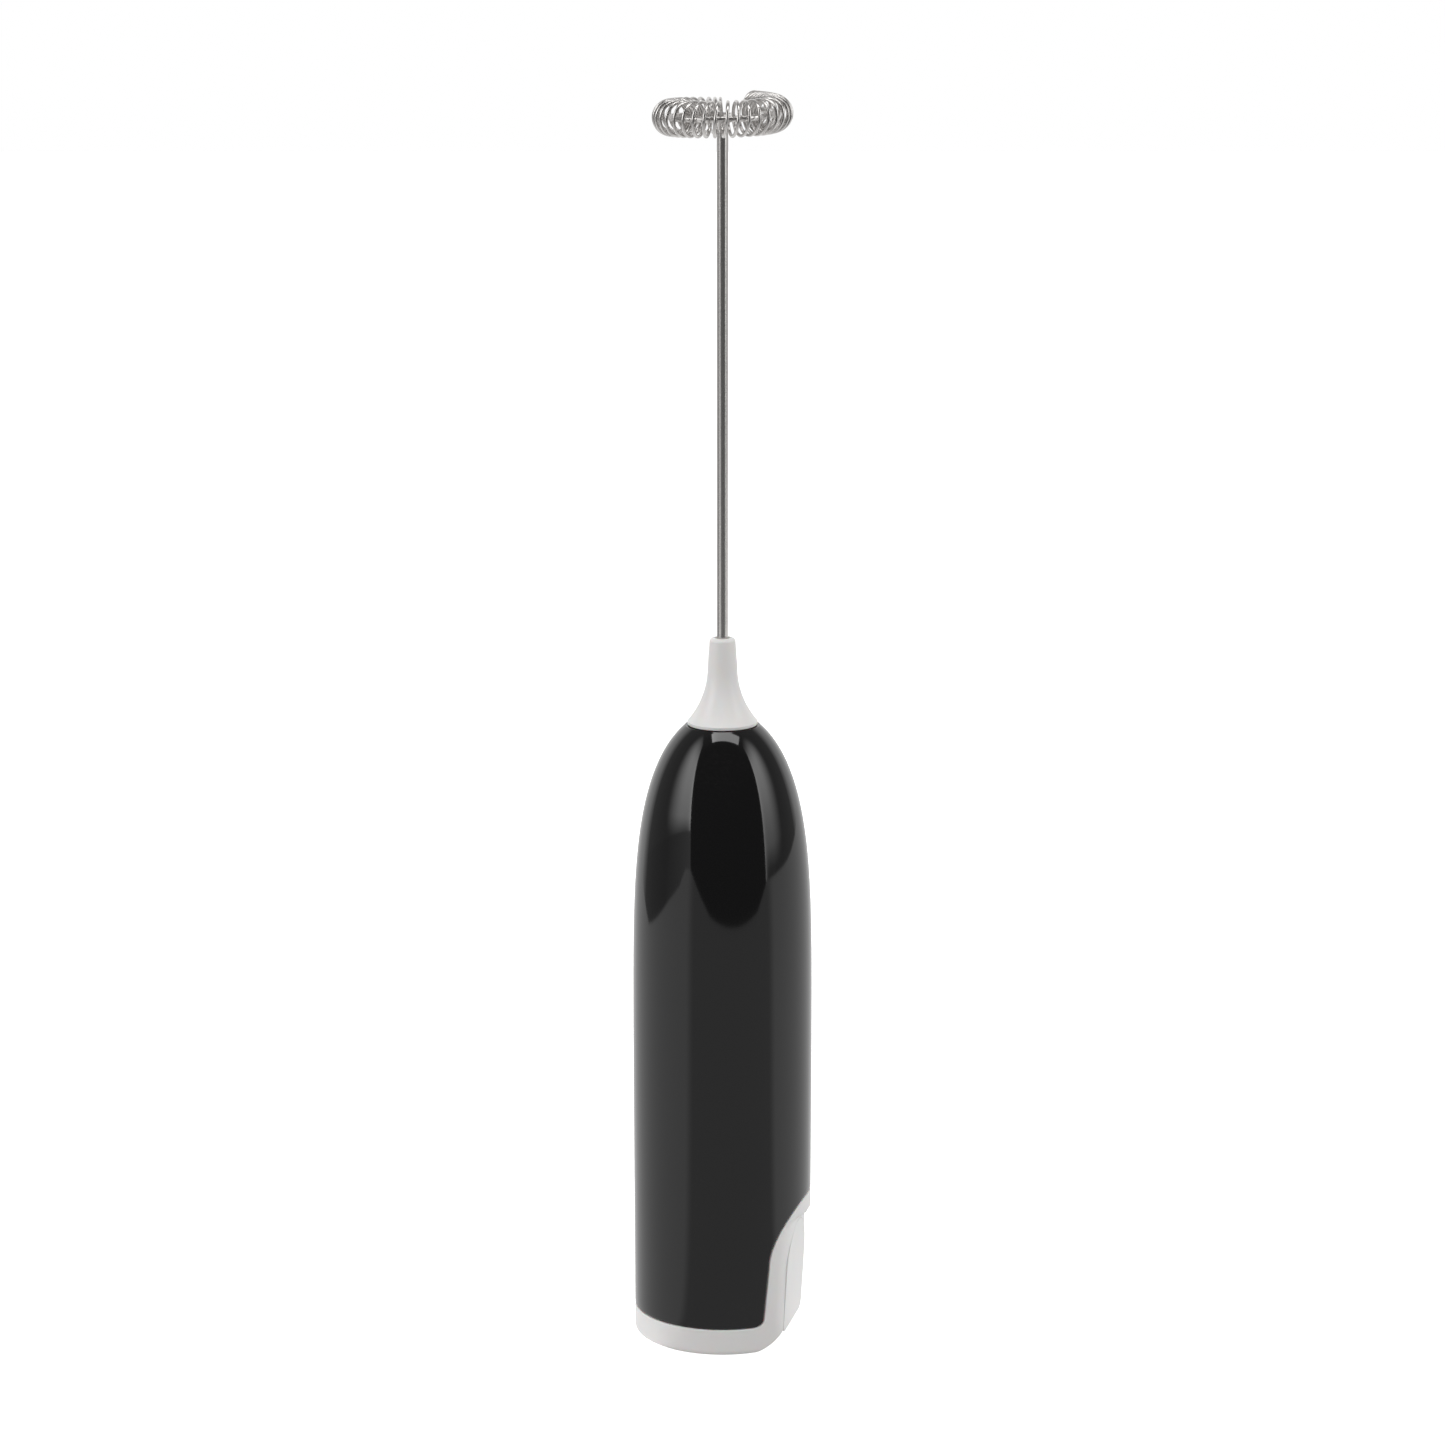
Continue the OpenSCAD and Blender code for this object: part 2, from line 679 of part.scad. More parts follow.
module shaft_coupler() {
    color("goldenrod") difference() {
        union() {
            rod(coupler_r, coupler_z, coupler_top - 0.6);
            translate([0, 0, coupler_top - 0.6]) cylinder(r1 = coupler_r, r2 = coupler_r - 0.6, h = 0.6);
        }
        rod(motor_shaft_r, coupler_z - 1, shaft_joint);
        rod(shaft_r, shaft_joint - 0.1, coupler_top + 1);
        for (z = [coupler_z + 2.4, coupler_top - 3.4]) tube(coupler_r + 1, coupler_r - 0.25, z, z + 0.8);
    }
}

module whisk_shaft() {
    top = spoke_z - spoke_bend - 0.3;
    color("silver") difference() {
        rod(shaft_r, shaft_joint + 0.1, top);
        rod(hoop_wire_r, top - 8, top + 1);
    }
}

// Height of the whisk ring's centre line at direction a
function hoop_z(a) = spoke_z + ring_rise * (a - coil_start) / (coil_end - coil_start);

// Wire that rises out of the shaft, turns outwards as a spoke and runs round the ring inside the coil
module whisk_hoop() {
    out = [cos(hoop_start), sin(hoop_start), 0];
    side = [-sin(hoop_start), cos(hoop_start), 0];
    up = [0, 0, 1];
    leg_foot = spoke_z - spoke_bend - 8.2;
    leg = [[0, 0, leg_foot], [0, 0, leg_foot + 4]];
    bend = [for (i = [0 : 6]) let (a = 90 * i / 6)
        [0, 0, spoke_z - spoke_bend] + spoke_bend * ((1 - cos(a)) * out + sin(a) * up)];
    bend_refs = [for (i = [0 : 6]) let (a = 90 * i / 6) -cos(a) * out + sin(a) * up];
    // a turn of radius hoop_bend that ends on the ring, heading along it
    turn_angle = 90;
    turn_mid = [ring_r - hoop_bend, hoop_bend];
    turn = [for (i = [0 : 6]) let (a = -90 + turn_angle * i / 6)
        (turn_mid[0] + hoop_bend * cos(a)) * out + (turn_mid[1] + hoop_bend * sin(a)) * side + spoke_z * up];
    ring = [for (a = [coil_start + 1 : 6 : coil_end + 3])
        [ring_r * cos(a), ring_r * sin(a), max(hoop_z(a), spoke_z)]];
    path = concat(leg, bend, turn, ring);
    refs = concat([-out, -out], bend_refs, [for (i = [1 : len(turn) + len(ring)]) up]);
    color("silver") wire(path, refs, hoop_wire_r, 8);
}

// Direction round the ring after t turns of the coil, closed up at both ends
function coil_angle(t) = coil_start
    + tight_step * min(t, tight_first)
    + open_step * max(0, min(t - tight_first, open_turns))
    + tight_step * max(0, t - tight_first - open_turns);

module whisk_coil() {
    per_turn = 12;
    n = coil_turns * per_turn;
    path = [for (i = [0 : n]) let (a = coil_angle(i / per_turn), w = 360 * i / per_turn,
            r = ring_r + coil_r * cos(w))
        [r * cos(a), r * sin(a), hoop_z(a) + coil_r * sin(w)]];
    refs = [for (i = [0 : n]) let (a = coil_angle(i / per_turn), w = 360 * i / per_turn)
        [cos(w) * cos(a), cos(w) * sin(a), sin(w)]];
    color("silver") wire(path, refs, coil_wire_r, 5);
}

base_cap();
battery_cradle();
cradle_screws();
hinge_pin();
cell_can_left();
cell_can_right();
cell_sleeve_left();
cell_sleeve_right();
plus_strip();
minus_strip();
base_spring();
thumb_button();
contact_bridge();
torsion_spring();
housing_shell();
nose_cone();
motor_holder();
motor_screws();
contact_carrier();
top_plate();
top_spring();
lead_red();
lead_black();
motor_can();
motor_end_cap();
motor_magnets();
motor_brushes();
front_bush();
rear_bush();
motor_shaft();
rotor_core();
rotor_windings();
commutator();
shaft_washers();
shaft_coupler();
whisk_shaft();
whisk_hoop();
whisk_coil();
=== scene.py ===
"""Looks of a hand-held milk frother that stands on the end of its handle with the whisk up.

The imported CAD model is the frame. The pieces that show get smooth meshes of their own, and the
parts inside are merged and smoothed copies of their CAD shapes. Sizes are in millimetres, as in
the CAD source, and meshes are in metres.
"""

from __future__ import annotations

import json
import logging
import math
from collections.abc import Callable, Iterable, Sequence
from dataclasses import dataclass, field
from enum import Enum

import bmesh
import bpy
from mathutils import Euler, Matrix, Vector

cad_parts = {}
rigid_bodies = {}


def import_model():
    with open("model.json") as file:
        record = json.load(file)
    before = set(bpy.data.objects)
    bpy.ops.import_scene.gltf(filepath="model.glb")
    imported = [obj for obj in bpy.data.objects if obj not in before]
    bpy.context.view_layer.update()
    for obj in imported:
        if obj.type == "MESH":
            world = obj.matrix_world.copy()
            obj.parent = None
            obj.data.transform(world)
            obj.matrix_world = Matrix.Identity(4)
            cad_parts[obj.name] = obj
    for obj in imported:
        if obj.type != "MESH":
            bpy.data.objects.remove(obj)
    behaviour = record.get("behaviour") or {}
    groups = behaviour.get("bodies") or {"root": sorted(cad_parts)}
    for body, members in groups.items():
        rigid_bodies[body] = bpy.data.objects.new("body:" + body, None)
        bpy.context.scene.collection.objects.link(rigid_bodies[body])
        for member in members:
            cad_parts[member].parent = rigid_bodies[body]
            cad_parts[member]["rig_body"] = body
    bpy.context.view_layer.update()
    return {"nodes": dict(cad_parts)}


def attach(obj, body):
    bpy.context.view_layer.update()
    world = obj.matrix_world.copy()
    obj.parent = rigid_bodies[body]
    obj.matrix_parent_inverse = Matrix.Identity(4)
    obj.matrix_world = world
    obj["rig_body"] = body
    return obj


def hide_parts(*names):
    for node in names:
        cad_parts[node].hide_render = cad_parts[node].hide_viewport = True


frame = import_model()

MM = 0.001
BUMP_HEIGHT = 0.0001
SUBSURFACE_DEPTH = 0.002
MARKS_COLOUR = (0.3, 0.29, 0.28)
LOG = logging.getLogger("milk_frother")

Point = tuple[float, float, float]
Row = list[Point]


# ---------------------------------------------------------------------------------------------
# Node trees


class Wiring:
    """A node tree that nodes are added to and joined in."""

    def __init__(self, tree: bpy.types.NodeTree) -> None:
        """Keeps the tree."""
        self.tree = tree

    def node(self, kind: str, **settings: object) -> bpy.types.Node:
        """Adds a node.

        Args:
            kind: The node's type name.
            **settings: Properties to set on it.

        Returns:
            The new node.
        """
        made = self.tree.nodes.new(kind)
        for key, value in settings.items():
            setattr(made, key, value)
        return made

    def link(self, a: bpy.types.NodeSocket, b: bpy.types.NodeSocket) -> None:
        """Joins output a to input b."""
        self.tree.links.new(a, b)

    def feed(self, value: bpy.types.NodeSocket | float | Sequence[float],
             end: bpy.types.NodeSocket) -> None:
        """Gives an input its value, as a number, a colour or from a socket.

        Args:
            value: The number, the colour or the socket.
            end: The input.
        """
        if isinstance(value, bpy.types.NodeSocket):
            self.link(value, end)
        else:
            end.default_value = value

    def noise(self, vector: bpy.types.NodeSocket, scale: bpy.types.NodeSocket | float,
              detail: float, roughness: float = 0.5) -> bpy.types.NodeSocket:
        """Adds a noise texture.

        Args:
            vector: Where it is read.
            scale: Its scale, as a number or a socket.
            detail: Its detail.
            roughness: How strong its fine detail is.

        Returns:
            The noise's value.
        """
        made = self.node("ShaderNodeTexNoise")
        made.inputs["Detail"].default_value = detail
        made.inputs["Roughness"].default_value = roughness
        self.link(vector, made.inputs["Vector"])
        self.feed(scale, made.inputs["Scale"])
        return made.outputs["Fac"]

    def maths(self, operation: str, *values: bpy.types.NodeSocket | float) -> bpy.types.NodeSocket:
        """Adds a Math node.

        Args:
            operation: Its operation.
            *values: Its inputs, as numbers or sockets.

        Returns:
            The result.
        """
        made = self.node("ShaderNodeMath", operation=operation)
        for i, value in enumerate(values):
            self.feed(value, made.inputs[i])
        return made.outputs[0]

    def ramp(self, value: bpy.types.NodeSocket, low: bpy.types.NodeSocket | float,
             high: bpy.types.NodeSocket | float) -> bpy.types.NodeSocket:
        """Maps value from low..high to 0..1, clamped and smooth.

        Args:
            value: The value.
            low: Where it starts.
            high: Where it ends.

        Returns:
            The mapped value.
        """
        made = self.node("ShaderNodeMapRange", interpolation_type="SMOOTHSTEP")
        self.link(value, made.inputs["Value"])
        self.feed(low, made.inputs["From Min"])
        self.feed(high, made.inputs["From Max"])
        return made.outputs["Result"]


# ---------------------------------------------------------------------------------------------
# Shader node groups


class Group(Wiring):
    """A shader node group that is built once, with named inputs and outputs."""

    def __init__(self, name: str, inputs: dict[str, float], outputs: Sequence[str]) -> None:
        """Starts the group.

        Args:
            name: Name of the group.
            inputs: Input names with their first values; every group also reads a Vector.
            outputs: Names of the value outputs.
        """
        super().__init__(bpy.data.node_groups.new(name, "ShaderNodeTree"))
        self.tree.interface.new_socket("Vector", in_out="INPUT", socket_type="NodeSocketVector")
        for label, value in inputs.items():
            socket = self.tree.interface.new_socket(
                label, in_out="INPUT", socket_type="NodeSocketFloat")
            socket.default_value = value
        for label in outputs:
            self.tree.interface.new_socket(label, in_out="OUTPUT", socket_type="NodeSocketFloat")
        self.start = self.node("NodeGroupInput")
        self.end = self.node("NodeGroupOutput")


class Effects:
    """The shader node groups that the finishes share."""

    def __init__(self) -> None:
        """Builds every group."""
        self.moulded = self._moulded()
        self.drawn = self._drawn()
        self.dust = self._dust()
        self.bands = self._bands()

    @staticmethod
    def _moulded() -> bpy.types.NodeTree:
        """Moulded plastic: wide flow marks and a fine skin.

        Returns:
            The group.
        """
        g = Group("moulded_skin", {"Flow Scale": 60.0, "Skin Scale": 2500.0}, ["Flow", "Skin"])
        g.link(g.noise(g.start.outputs["Vector"], g.start.outputs["Flow Scale"], 2.0),
               g.end.inputs["Flow"])
        g.link(g.noise(g.start.outputs["Vector"], g.start.outputs["Skin Scale"], 3.0, 0.6),
               g.end.inputs["Skin"])
        return g.tree

    @staticmethod
    def _drawn() -> bpy.types.NodeTree:
        """Drawn or turned metal: streaks along Z, and soft tarnish.

        Returns:
            The group.
        """
        g = Group("drawn_metal", {"Streak Scale": 3000.0, "Stretch": 0.02, "Tarnish Scale": 300.0},
                  ["Streak", "Tarnish"])
        parts = g.node("ShaderNodeSeparateXYZ")
        g.link(g.start.outputs["Vector"], parts.inputs[0])
        joined = g.node("ShaderNodeCombineXYZ")
        g.link(parts.outputs["X"], joined.inputs["X"])
        g.link(parts.outputs["Y"], joined.inputs["Y"])
        g.link(g.maths("MULTIPLY", parts.outputs["Z"], g.start.outputs["Stretch"]),
               joined.inputs["Z"])
        g.link(g.noise(joined.outputs[0], g.start.outputs["Streak Scale"], 3.0, 0.55),
               g.end.inputs["Streak"])
        g.link(g.noise(g.start.outputs["Vector"], g.start.outputs["Tarnish Scale"], 4.0),
               g.end.inputs["Tarnish"])
        return g.tree

    @staticmethod
    def _dust() -> bpy.types.NodeTree:
        """Handling marks: smudges in patches with fine specks in them.

        Returns:
            The group.
        """
        g = Group("handling_marks", {"Patch Scale": 45.0, "Speck Scale": 1800.0, "Cover": 0.5},
                  ["Mask"])
        patch = g.noise(g.start.outputs["Vector"], g.start.outputs["Patch Scale"], 3.0)
        speck = g.noise(g.start.outputs["Vector"], g.start.outputs["Speck Scale"], 2.0, 0.7)
        top = g.maths("ADD", g.start.outputs["Cover"], 0.25)
        g.link(g.maths("MULTIPLY", g.ramp(patch, g.start.outputs["Cover"], top),
                       g.ramp(speck, 0.4, 0.75)), g.end.inputs["Mask"])
        return g.tree

    @staticmethod
    def _bands() -> bpy.types.NodeTree:
        """A printed band between two heights, with soft edges.

        Returns:
            The group.
        """
        g = Group("printed_band", {"Low": 0.04, "High": 0.05, "Edge": 0.0002}, ["Band"])
        parts = g.node("ShaderNodeSeparateXYZ")
        g.link(g.start.outputs["Vector"], parts.inputs[0])
        low = g.start.outputs["Low"]
        high = g.start.outputs["High"]
        edge = g.start.outputs["Edge"]
        up = g.ramp(parts.outputs["Z"], low, g.maths("ADD", low, edge))
        over = g.ramp(parts.outputs["Z"], high, g.maths("ADD", high, edge))
        g.link(g.maths("SUBTRACT", up, over), g.end.inputs["Band"])
        return g.tree


# ---------------------------------------------------------------------------------------------
# Finishes


class Skin(Enum):
    """How a finish varies over its surface."""

    MOULDED = "moulded"
    DRAWN = "drawn"


@dataclass(frozen=True)
class Finish:
    """A finish: its colours, its gloss and how both vary."""

    slot: str
    colour: Point
    second: Point
    rough: tuple[float, float]
    skin: Skin = Skin.MOULDED
    metallic: float = 0.0
    ior: float = 1.5
    specular: float = 0.5
    coat: float = 0.0
    coat_rough: float = 0.03
    subsurface: float = 0.0
    bump: float = 0.05
    scales: Point = (60.0, 2500.0, 300.0)
    marks: float = 0.0
    band: tuple[float, float] | None = None
    band_colour: Point = (0.5, 0.51, 0.53)

    def build(self, effects: Effects) -> bpy.types.Material:
        """Makes the material.

        Args:
            effects: The shared node groups.

        Returns:
            The material.
        """
        made = bpy.data.materials.new(self.slot)
        made.use_nodes = True
        wiring = Wiring(made.node_tree)
        shader = made.node_tree.nodes["Principled BSDF"]
        where = wiring.node("ShaderNodeTexCoord").outputs["Object"]
        vary, height = self._surface(wiring, effects, where)
        colour = self._mixed(wiring, vary, self.colour, self.second)
        gloss = wiring.node("ShaderNodeMapRange")
        gloss.inputs["To Min"].default_value, gloss.inputs["To Max"].default_value = self.rough
        wiring.link(vary, gloss.inputs["Value"])
        roughness = gloss.outputs["Result"]
        if self.marks:
            use = self._use(wiring, effects.dust, where)
            amount = wiring.maths("MULTIPLY", use.outputs["Mask"], self.marks)
            colour = self._mixed(wiring, amount, colour, MARKS_COLOUR)
            roughness = wiring.maths("ADD", amount, roughness)
        if self.band:
            use = self._use(wiring, effects.bands, where)
            use.inputs["Low"].default_value, use.inputs["High"].default_value = self.band
            colour = self._mixed(wiring, use.outputs["Band"], colour, self.band_colour)
        wiring.link(colour, shader.inputs["Base Color"])
        wiring.link(roughness, shader.inputs["Roughness"])
        bump = wiring.node("ShaderNodeBump")
        bump.inputs["Strength"].default_value = self.bump
        bump.inputs["Distance"].default_value = BUMP_HEIGHT
        wiring.link(height, bump.inputs["Height"])
        wiring.link(bump.outputs[0], shader.inputs["Normal"])
        for name, value in (("Metallic", self.metallic), ("IOR", self.ior),
                            ("Specular IOR Level", self.specular), ("Coat Weight", self.coat),
                            ("Coat Roughness", self.coat_rough),
                            ("Subsurface Weight", self.subsurface),
                            ("Subsurface Scale", SUBSURFACE_DEPTH)):
            shader.inputs[name].default_value = value
        made.diffuse_color = (*self.colour, 1)
        return made

    def _use(self, wiring: Wiring, group: bpy.types.NodeTree, where: bpy.types.NodeSocket
             ) -> bpy.types.Node:
        """Places a shared group, read at a place.

        Args:
            wiring: The material's tree.
            group: The group.
            where: Object coordinates.

        Returns:
            The group's node.
        """
        use = wiring.node("ShaderNodeGroup", node_tree=group)
        wiring.link(where, use.inputs["Vector"])
        return use

    def _mixed(self, wiring: Wiring, share: bpy.types.NodeSocket,
               first: bpy.types.NodeSocket | Point, second: Point) -> bpy.types.NodeSocket:
        """Mixes two colours.

        Args:
            wiring: The material's tree.
            share: Share of the second one.
            first: The first colour, or the socket that gives it.
            second: The second colour.

        Returns:
            The mixed colour.
        """
        tint = wiring.node("ShaderNodeMix", data_type="RGBA")
        wiring.feed(first if isinstance(first, bpy.types.NodeSocket) else (*first, 1),
                    tint.inputs["A"])
        tint.inputs["B"].default_value = (*second, 1)
        wiring.link(share, tint.inputs["Factor"])
        return tint.outputs["Result"]

    def _surface(self, wiring: Wiring, effects: Effects, where: bpy.types.NodeSocket
                 ) -> tuple[bpy.types.NodeSocket, bpy.types.NodeSocket]:
        """Places the group for this finish's skin.

        Args:
            wiring: The material's tree.
            effects: The shared node groups.
            where: Object coordinates.

        Returns:
            The value that colour and gloss follow, and the height for the bump.
        """
        if self.skin is Skin.DRAWN:
            use = self._use(wiring, effects.drawn, where)
            use.inputs["Streak Scale"].default_value = self.scales[1]
            use.inputs["Tarnish Scale"].default_value = self.scales[2]
            return use.outputs["Tarnish"], use.outputs["Streak"]
        use = self._use(wiring, effects.moulded, where)
        use.inputs["Flow Scale"].default_value = self.scales[0]
        use.inputs["Skin Scale"].default_value = self.scales[1]
        return use.outputs["Flow"], use.outputs["Skin"]


FINISHES = (
    Finish("black_shell", (0.0035, 0.0034, 0.0036), (0.0045, 0.0044, 0.0046), (0.05, 0.065),
           bump=0.006, scales=(40.0, 900.0, 0.0), marks=0.012),
    Finish("white_plastic", (0.79, 0.775, 0.765), (0.81, 0.797, 0.787), (0.3, 0.36),
           bump=0.03, scales=(50.0, 3500.0, 0.0), subsurface=0.15, marks=0.02),
    Finish("grey_plastic", (0.05, 0.052, 0.055), (0.065, 0.066, 0.07), (0.42, 0.55),
           bump=0.12, scales=(80.0, 4000.0, 0.0), marks=0.05),
    Finish("natural_plastic", (0.62, 0.6, 0.53), (0.68, 0.66, 0.6), (0.35, 0.5),
           bump=0.08, scales=(80.0, 2500.0, 0.0), subsurface=0.3),
    Finish("whisk_steel", (0.70, 0.68, 0.665), (0.56, 0.545, 0.53), (0.21, 0.29), Skin.DRAWN,
           metallic=1.0, bump=0.05, scales=(0.0, 5000.0, 400.0)),
    Finish("bright_steel", (0.72, 0.72, 0.72), (0.6, 0.6, 0.6), (0.12, 0.25), Skin.DRAWN,
           metallic=1.0, bump=0.05, scales=(0.0, 3000.0, 500.0)),
    Finish("cell_case", (0.72, 0.72, 0.7), (0.6, 0.6, 0.58), (0.22, 0.34), Skin.DRAWN,
           metallic=1.0, bump=0.08, scales=(0.0, 2500.0, 200.0)),
    Finish("cell_sleeve", (0.012, 0.04, 0.11), (0.016, 0.05, 0.13), (0.16, 0.24), coat=0.6,
           bump=0.02, scales=(90.0, 1500.0, 0.0), band=(0.026, 0.0325)),
    Finish("contact_brass", (0.78, 0.58, 0.27), (0.62, 0.44, 0.2), (0.18, 0.34), Skin.DRAWN,
           metallic=1.0, bump=0.06, scales=(0.0, 2500.0, 400.0)),
    Finish("motor_steel", (0.6, 0.6, 0.58), (0.5, 0.5, 0.48), (0.25, 0.4), Skin.DRAWN,
           metallic=1.0, bump=0.08, scales=(0.0, 1800.0, 250.0)),
    Finish("sintered_bronze", (0.48, 0.33, 0.17), (0.3, 0.2, 0.11), (0.45, 0.65),
           metallic=0.9, bump=0.4, scales=(1500.0, 6000.0, 0.0)),
    Finish("ferrite", (0.035, 0.034, 0.036), (0.06, 0.058, 0.06), (0.5, 0.7),
           bump=0.3, scales=(900.0, 5000.0, 0.0)),
    Finish("core_iron", (0.28, 0.28, 0.29), (0.18, 0.17, 0.17), (0.35, 0.5), Skin.DRAWN,
           metallic=1.0, bump=0.2, scales=(0.0, 2500.0, 500.0)),
    Finish("copper", (0.75, 0.33, 0.17), (0.55, 0.22, 0.11), (0.2, 0.38), Skin.DRAWN,
           metallic=1.0, bump=0.25, scales=(0.0, 4500.0, 500.0)),
    Finish("carbon", (0.03, 0.028, 0.027), (0.06, 0.056, 0.052), (0.4, 0.6),
           metallic=0.3, bump=0.3, scales=(1200.0, 5000.0, 0.0)),
    Finish("fibre", (0.35, 0.12, 0.06), (0.45, 0.18, 0.09), (0.6, 0.75),
           bump=0.4, scales=(1500.0, 6000.0, 0.0)),
    Finish("red_insulation", (0.45, 0.015, 0.012), (0.52, 0.025, 0.02), (0.35, 0.5),
           bump=0.06, scales=(400.0, 4000.0, 0.0)),
    Finish("black_insulation", (0.012, 0.012, 0.013), (0.02, 0.02, 0.02), (0.35, 0.5),
           bump=0.06, scales=(400.0, 4000.0, 0.0)),
)


class Finishes:
    """Materials by slot name."""

    def __init__(self) -> None:
        """Builds the groups and every material."""
        self.effects = Effects()
        self.by_slot = {f.slot: f.build(self.effects) for f in FINISHES}

    def __getitem__(self, slot: str) -> bpy.types.Material:
        """The material of a slot."""
        return self.by_slot[slot]


# ---------------------------------------------------------------------------------------------
# Geometry node trees


class NodeRecipe(Wiring):
    """A geometry node tree with named inputs, and how it is run on a mesh."""

    def __init__(self, name: str, inputs: Sequence[tuple[str, str]]) -> None:
        """Starts the tree.

        Args:
            name: The tree's name.
            inputs: Name and socket type of each input after the geometry.
        """
        super().__init__(bpy.data.node_groups.new(name, "GeometryNodeTree"))
        face = self.tree.interface
        face.new_socket("Geometry", in_out="INPUT", socket_type="NodeSocketGeometry")
        face.new_socket("Geometry", in_out="OUTPUT", socket_type="NodeSocketGeometry")
        for label, kind in inputs:
            face.new_socket(label, in_out="INPUT", socket_type=kind)
        self.start = self.node("NodeGroupInput")
        self.end = self.node("NodeGroupOutput")

    def finish(self, geometry: bpy.types.NodeSocket) -> None:
        """Ends the tree: smooth faces, real geometry and the material.

        Args:
            geometry: What the tree has made.
        """
        smooth = self.node("GeometryNodeSetShadeSmooth")
        self.link(geometry, smooth.inputs["Geometry"])
        real = self.node("GeometryNodeRealizeInstances")
        self.link(smooth.outputs[0], real.inputs[0])
        paint = self.node("GeometryNodeSetMaterial")
        self.link(real.outputs[0], paint.inputs["Geometry"])
        self.link(self.start.outputs["Material"], paint.inputs["Material"])
        self.link(paint.outputs[0], self.end.inputs[0])

    def swept(self, curve: bpy.types.NodeSocket) -> bpy.types.NodeSocket:
        """Sweeps round wire along a curve, with the Wire Radius and Sides inputs.

        Args:
            curve: The wire's centre line.

        Returns:
            The swept mesh.
        """
        section = self.node("GeometryNodeCurvePrimitiveCircle")
        self.link(self.start.outputs["Sides"], section.inputs["Resolution"])
        self.link(self.start.outputs["Wire Radius"], section.inputs["Radius"])
        sweep = self.node("GeometryNodeCurveToMesh")
        sweep.inputs["Fill Caps"].default_value = True
        self.link(curve, sweep.inputs["Curve"])
        self.link(section.outputs["Curve"], sweep.inputs["Profile Curve"])
        return sweep.outputs["Mesh"]

    def run(self, base: bpy.types.Object, values: dict[str, object]) -> bpy.types.Object:
        """Runs the tree on an object and leaves a plain mesh.

        Args:
            base: The object whose mesh goes in.
            values: A value for each named input.

        Returns:
            The same object, with the finished mesh.
        """
        modifier = base.modifiers.new(self.tree.name, "NODES")
        modifier.node_group = self.tree
        for item in self.tree.interface.items_tree:
            if item.in_out == "INPUT" and item.name in values:
                modifier[item.identifier] = values[item.name]
        return baked(base)


class WireRecipe(NodeRecipe):
    """Round wire along the line of points that it is given."""

    def __init__(self) -> None:
        """Builds the tree."""
        super().__init__("wire_along_line", (
            ("Wire Radius", "NodeSocketFloat"), ("Sides", "NodeSocketInt"),
            ("Material", "NodeSocketMaterial")))
        line = self.node("GeometryNodeMeshToCurve")
        self.link(self.start.outputs["Geometry"], line.inputs["Mesh"])
        self.finish(self.swept(line.outputs["Curve"]))


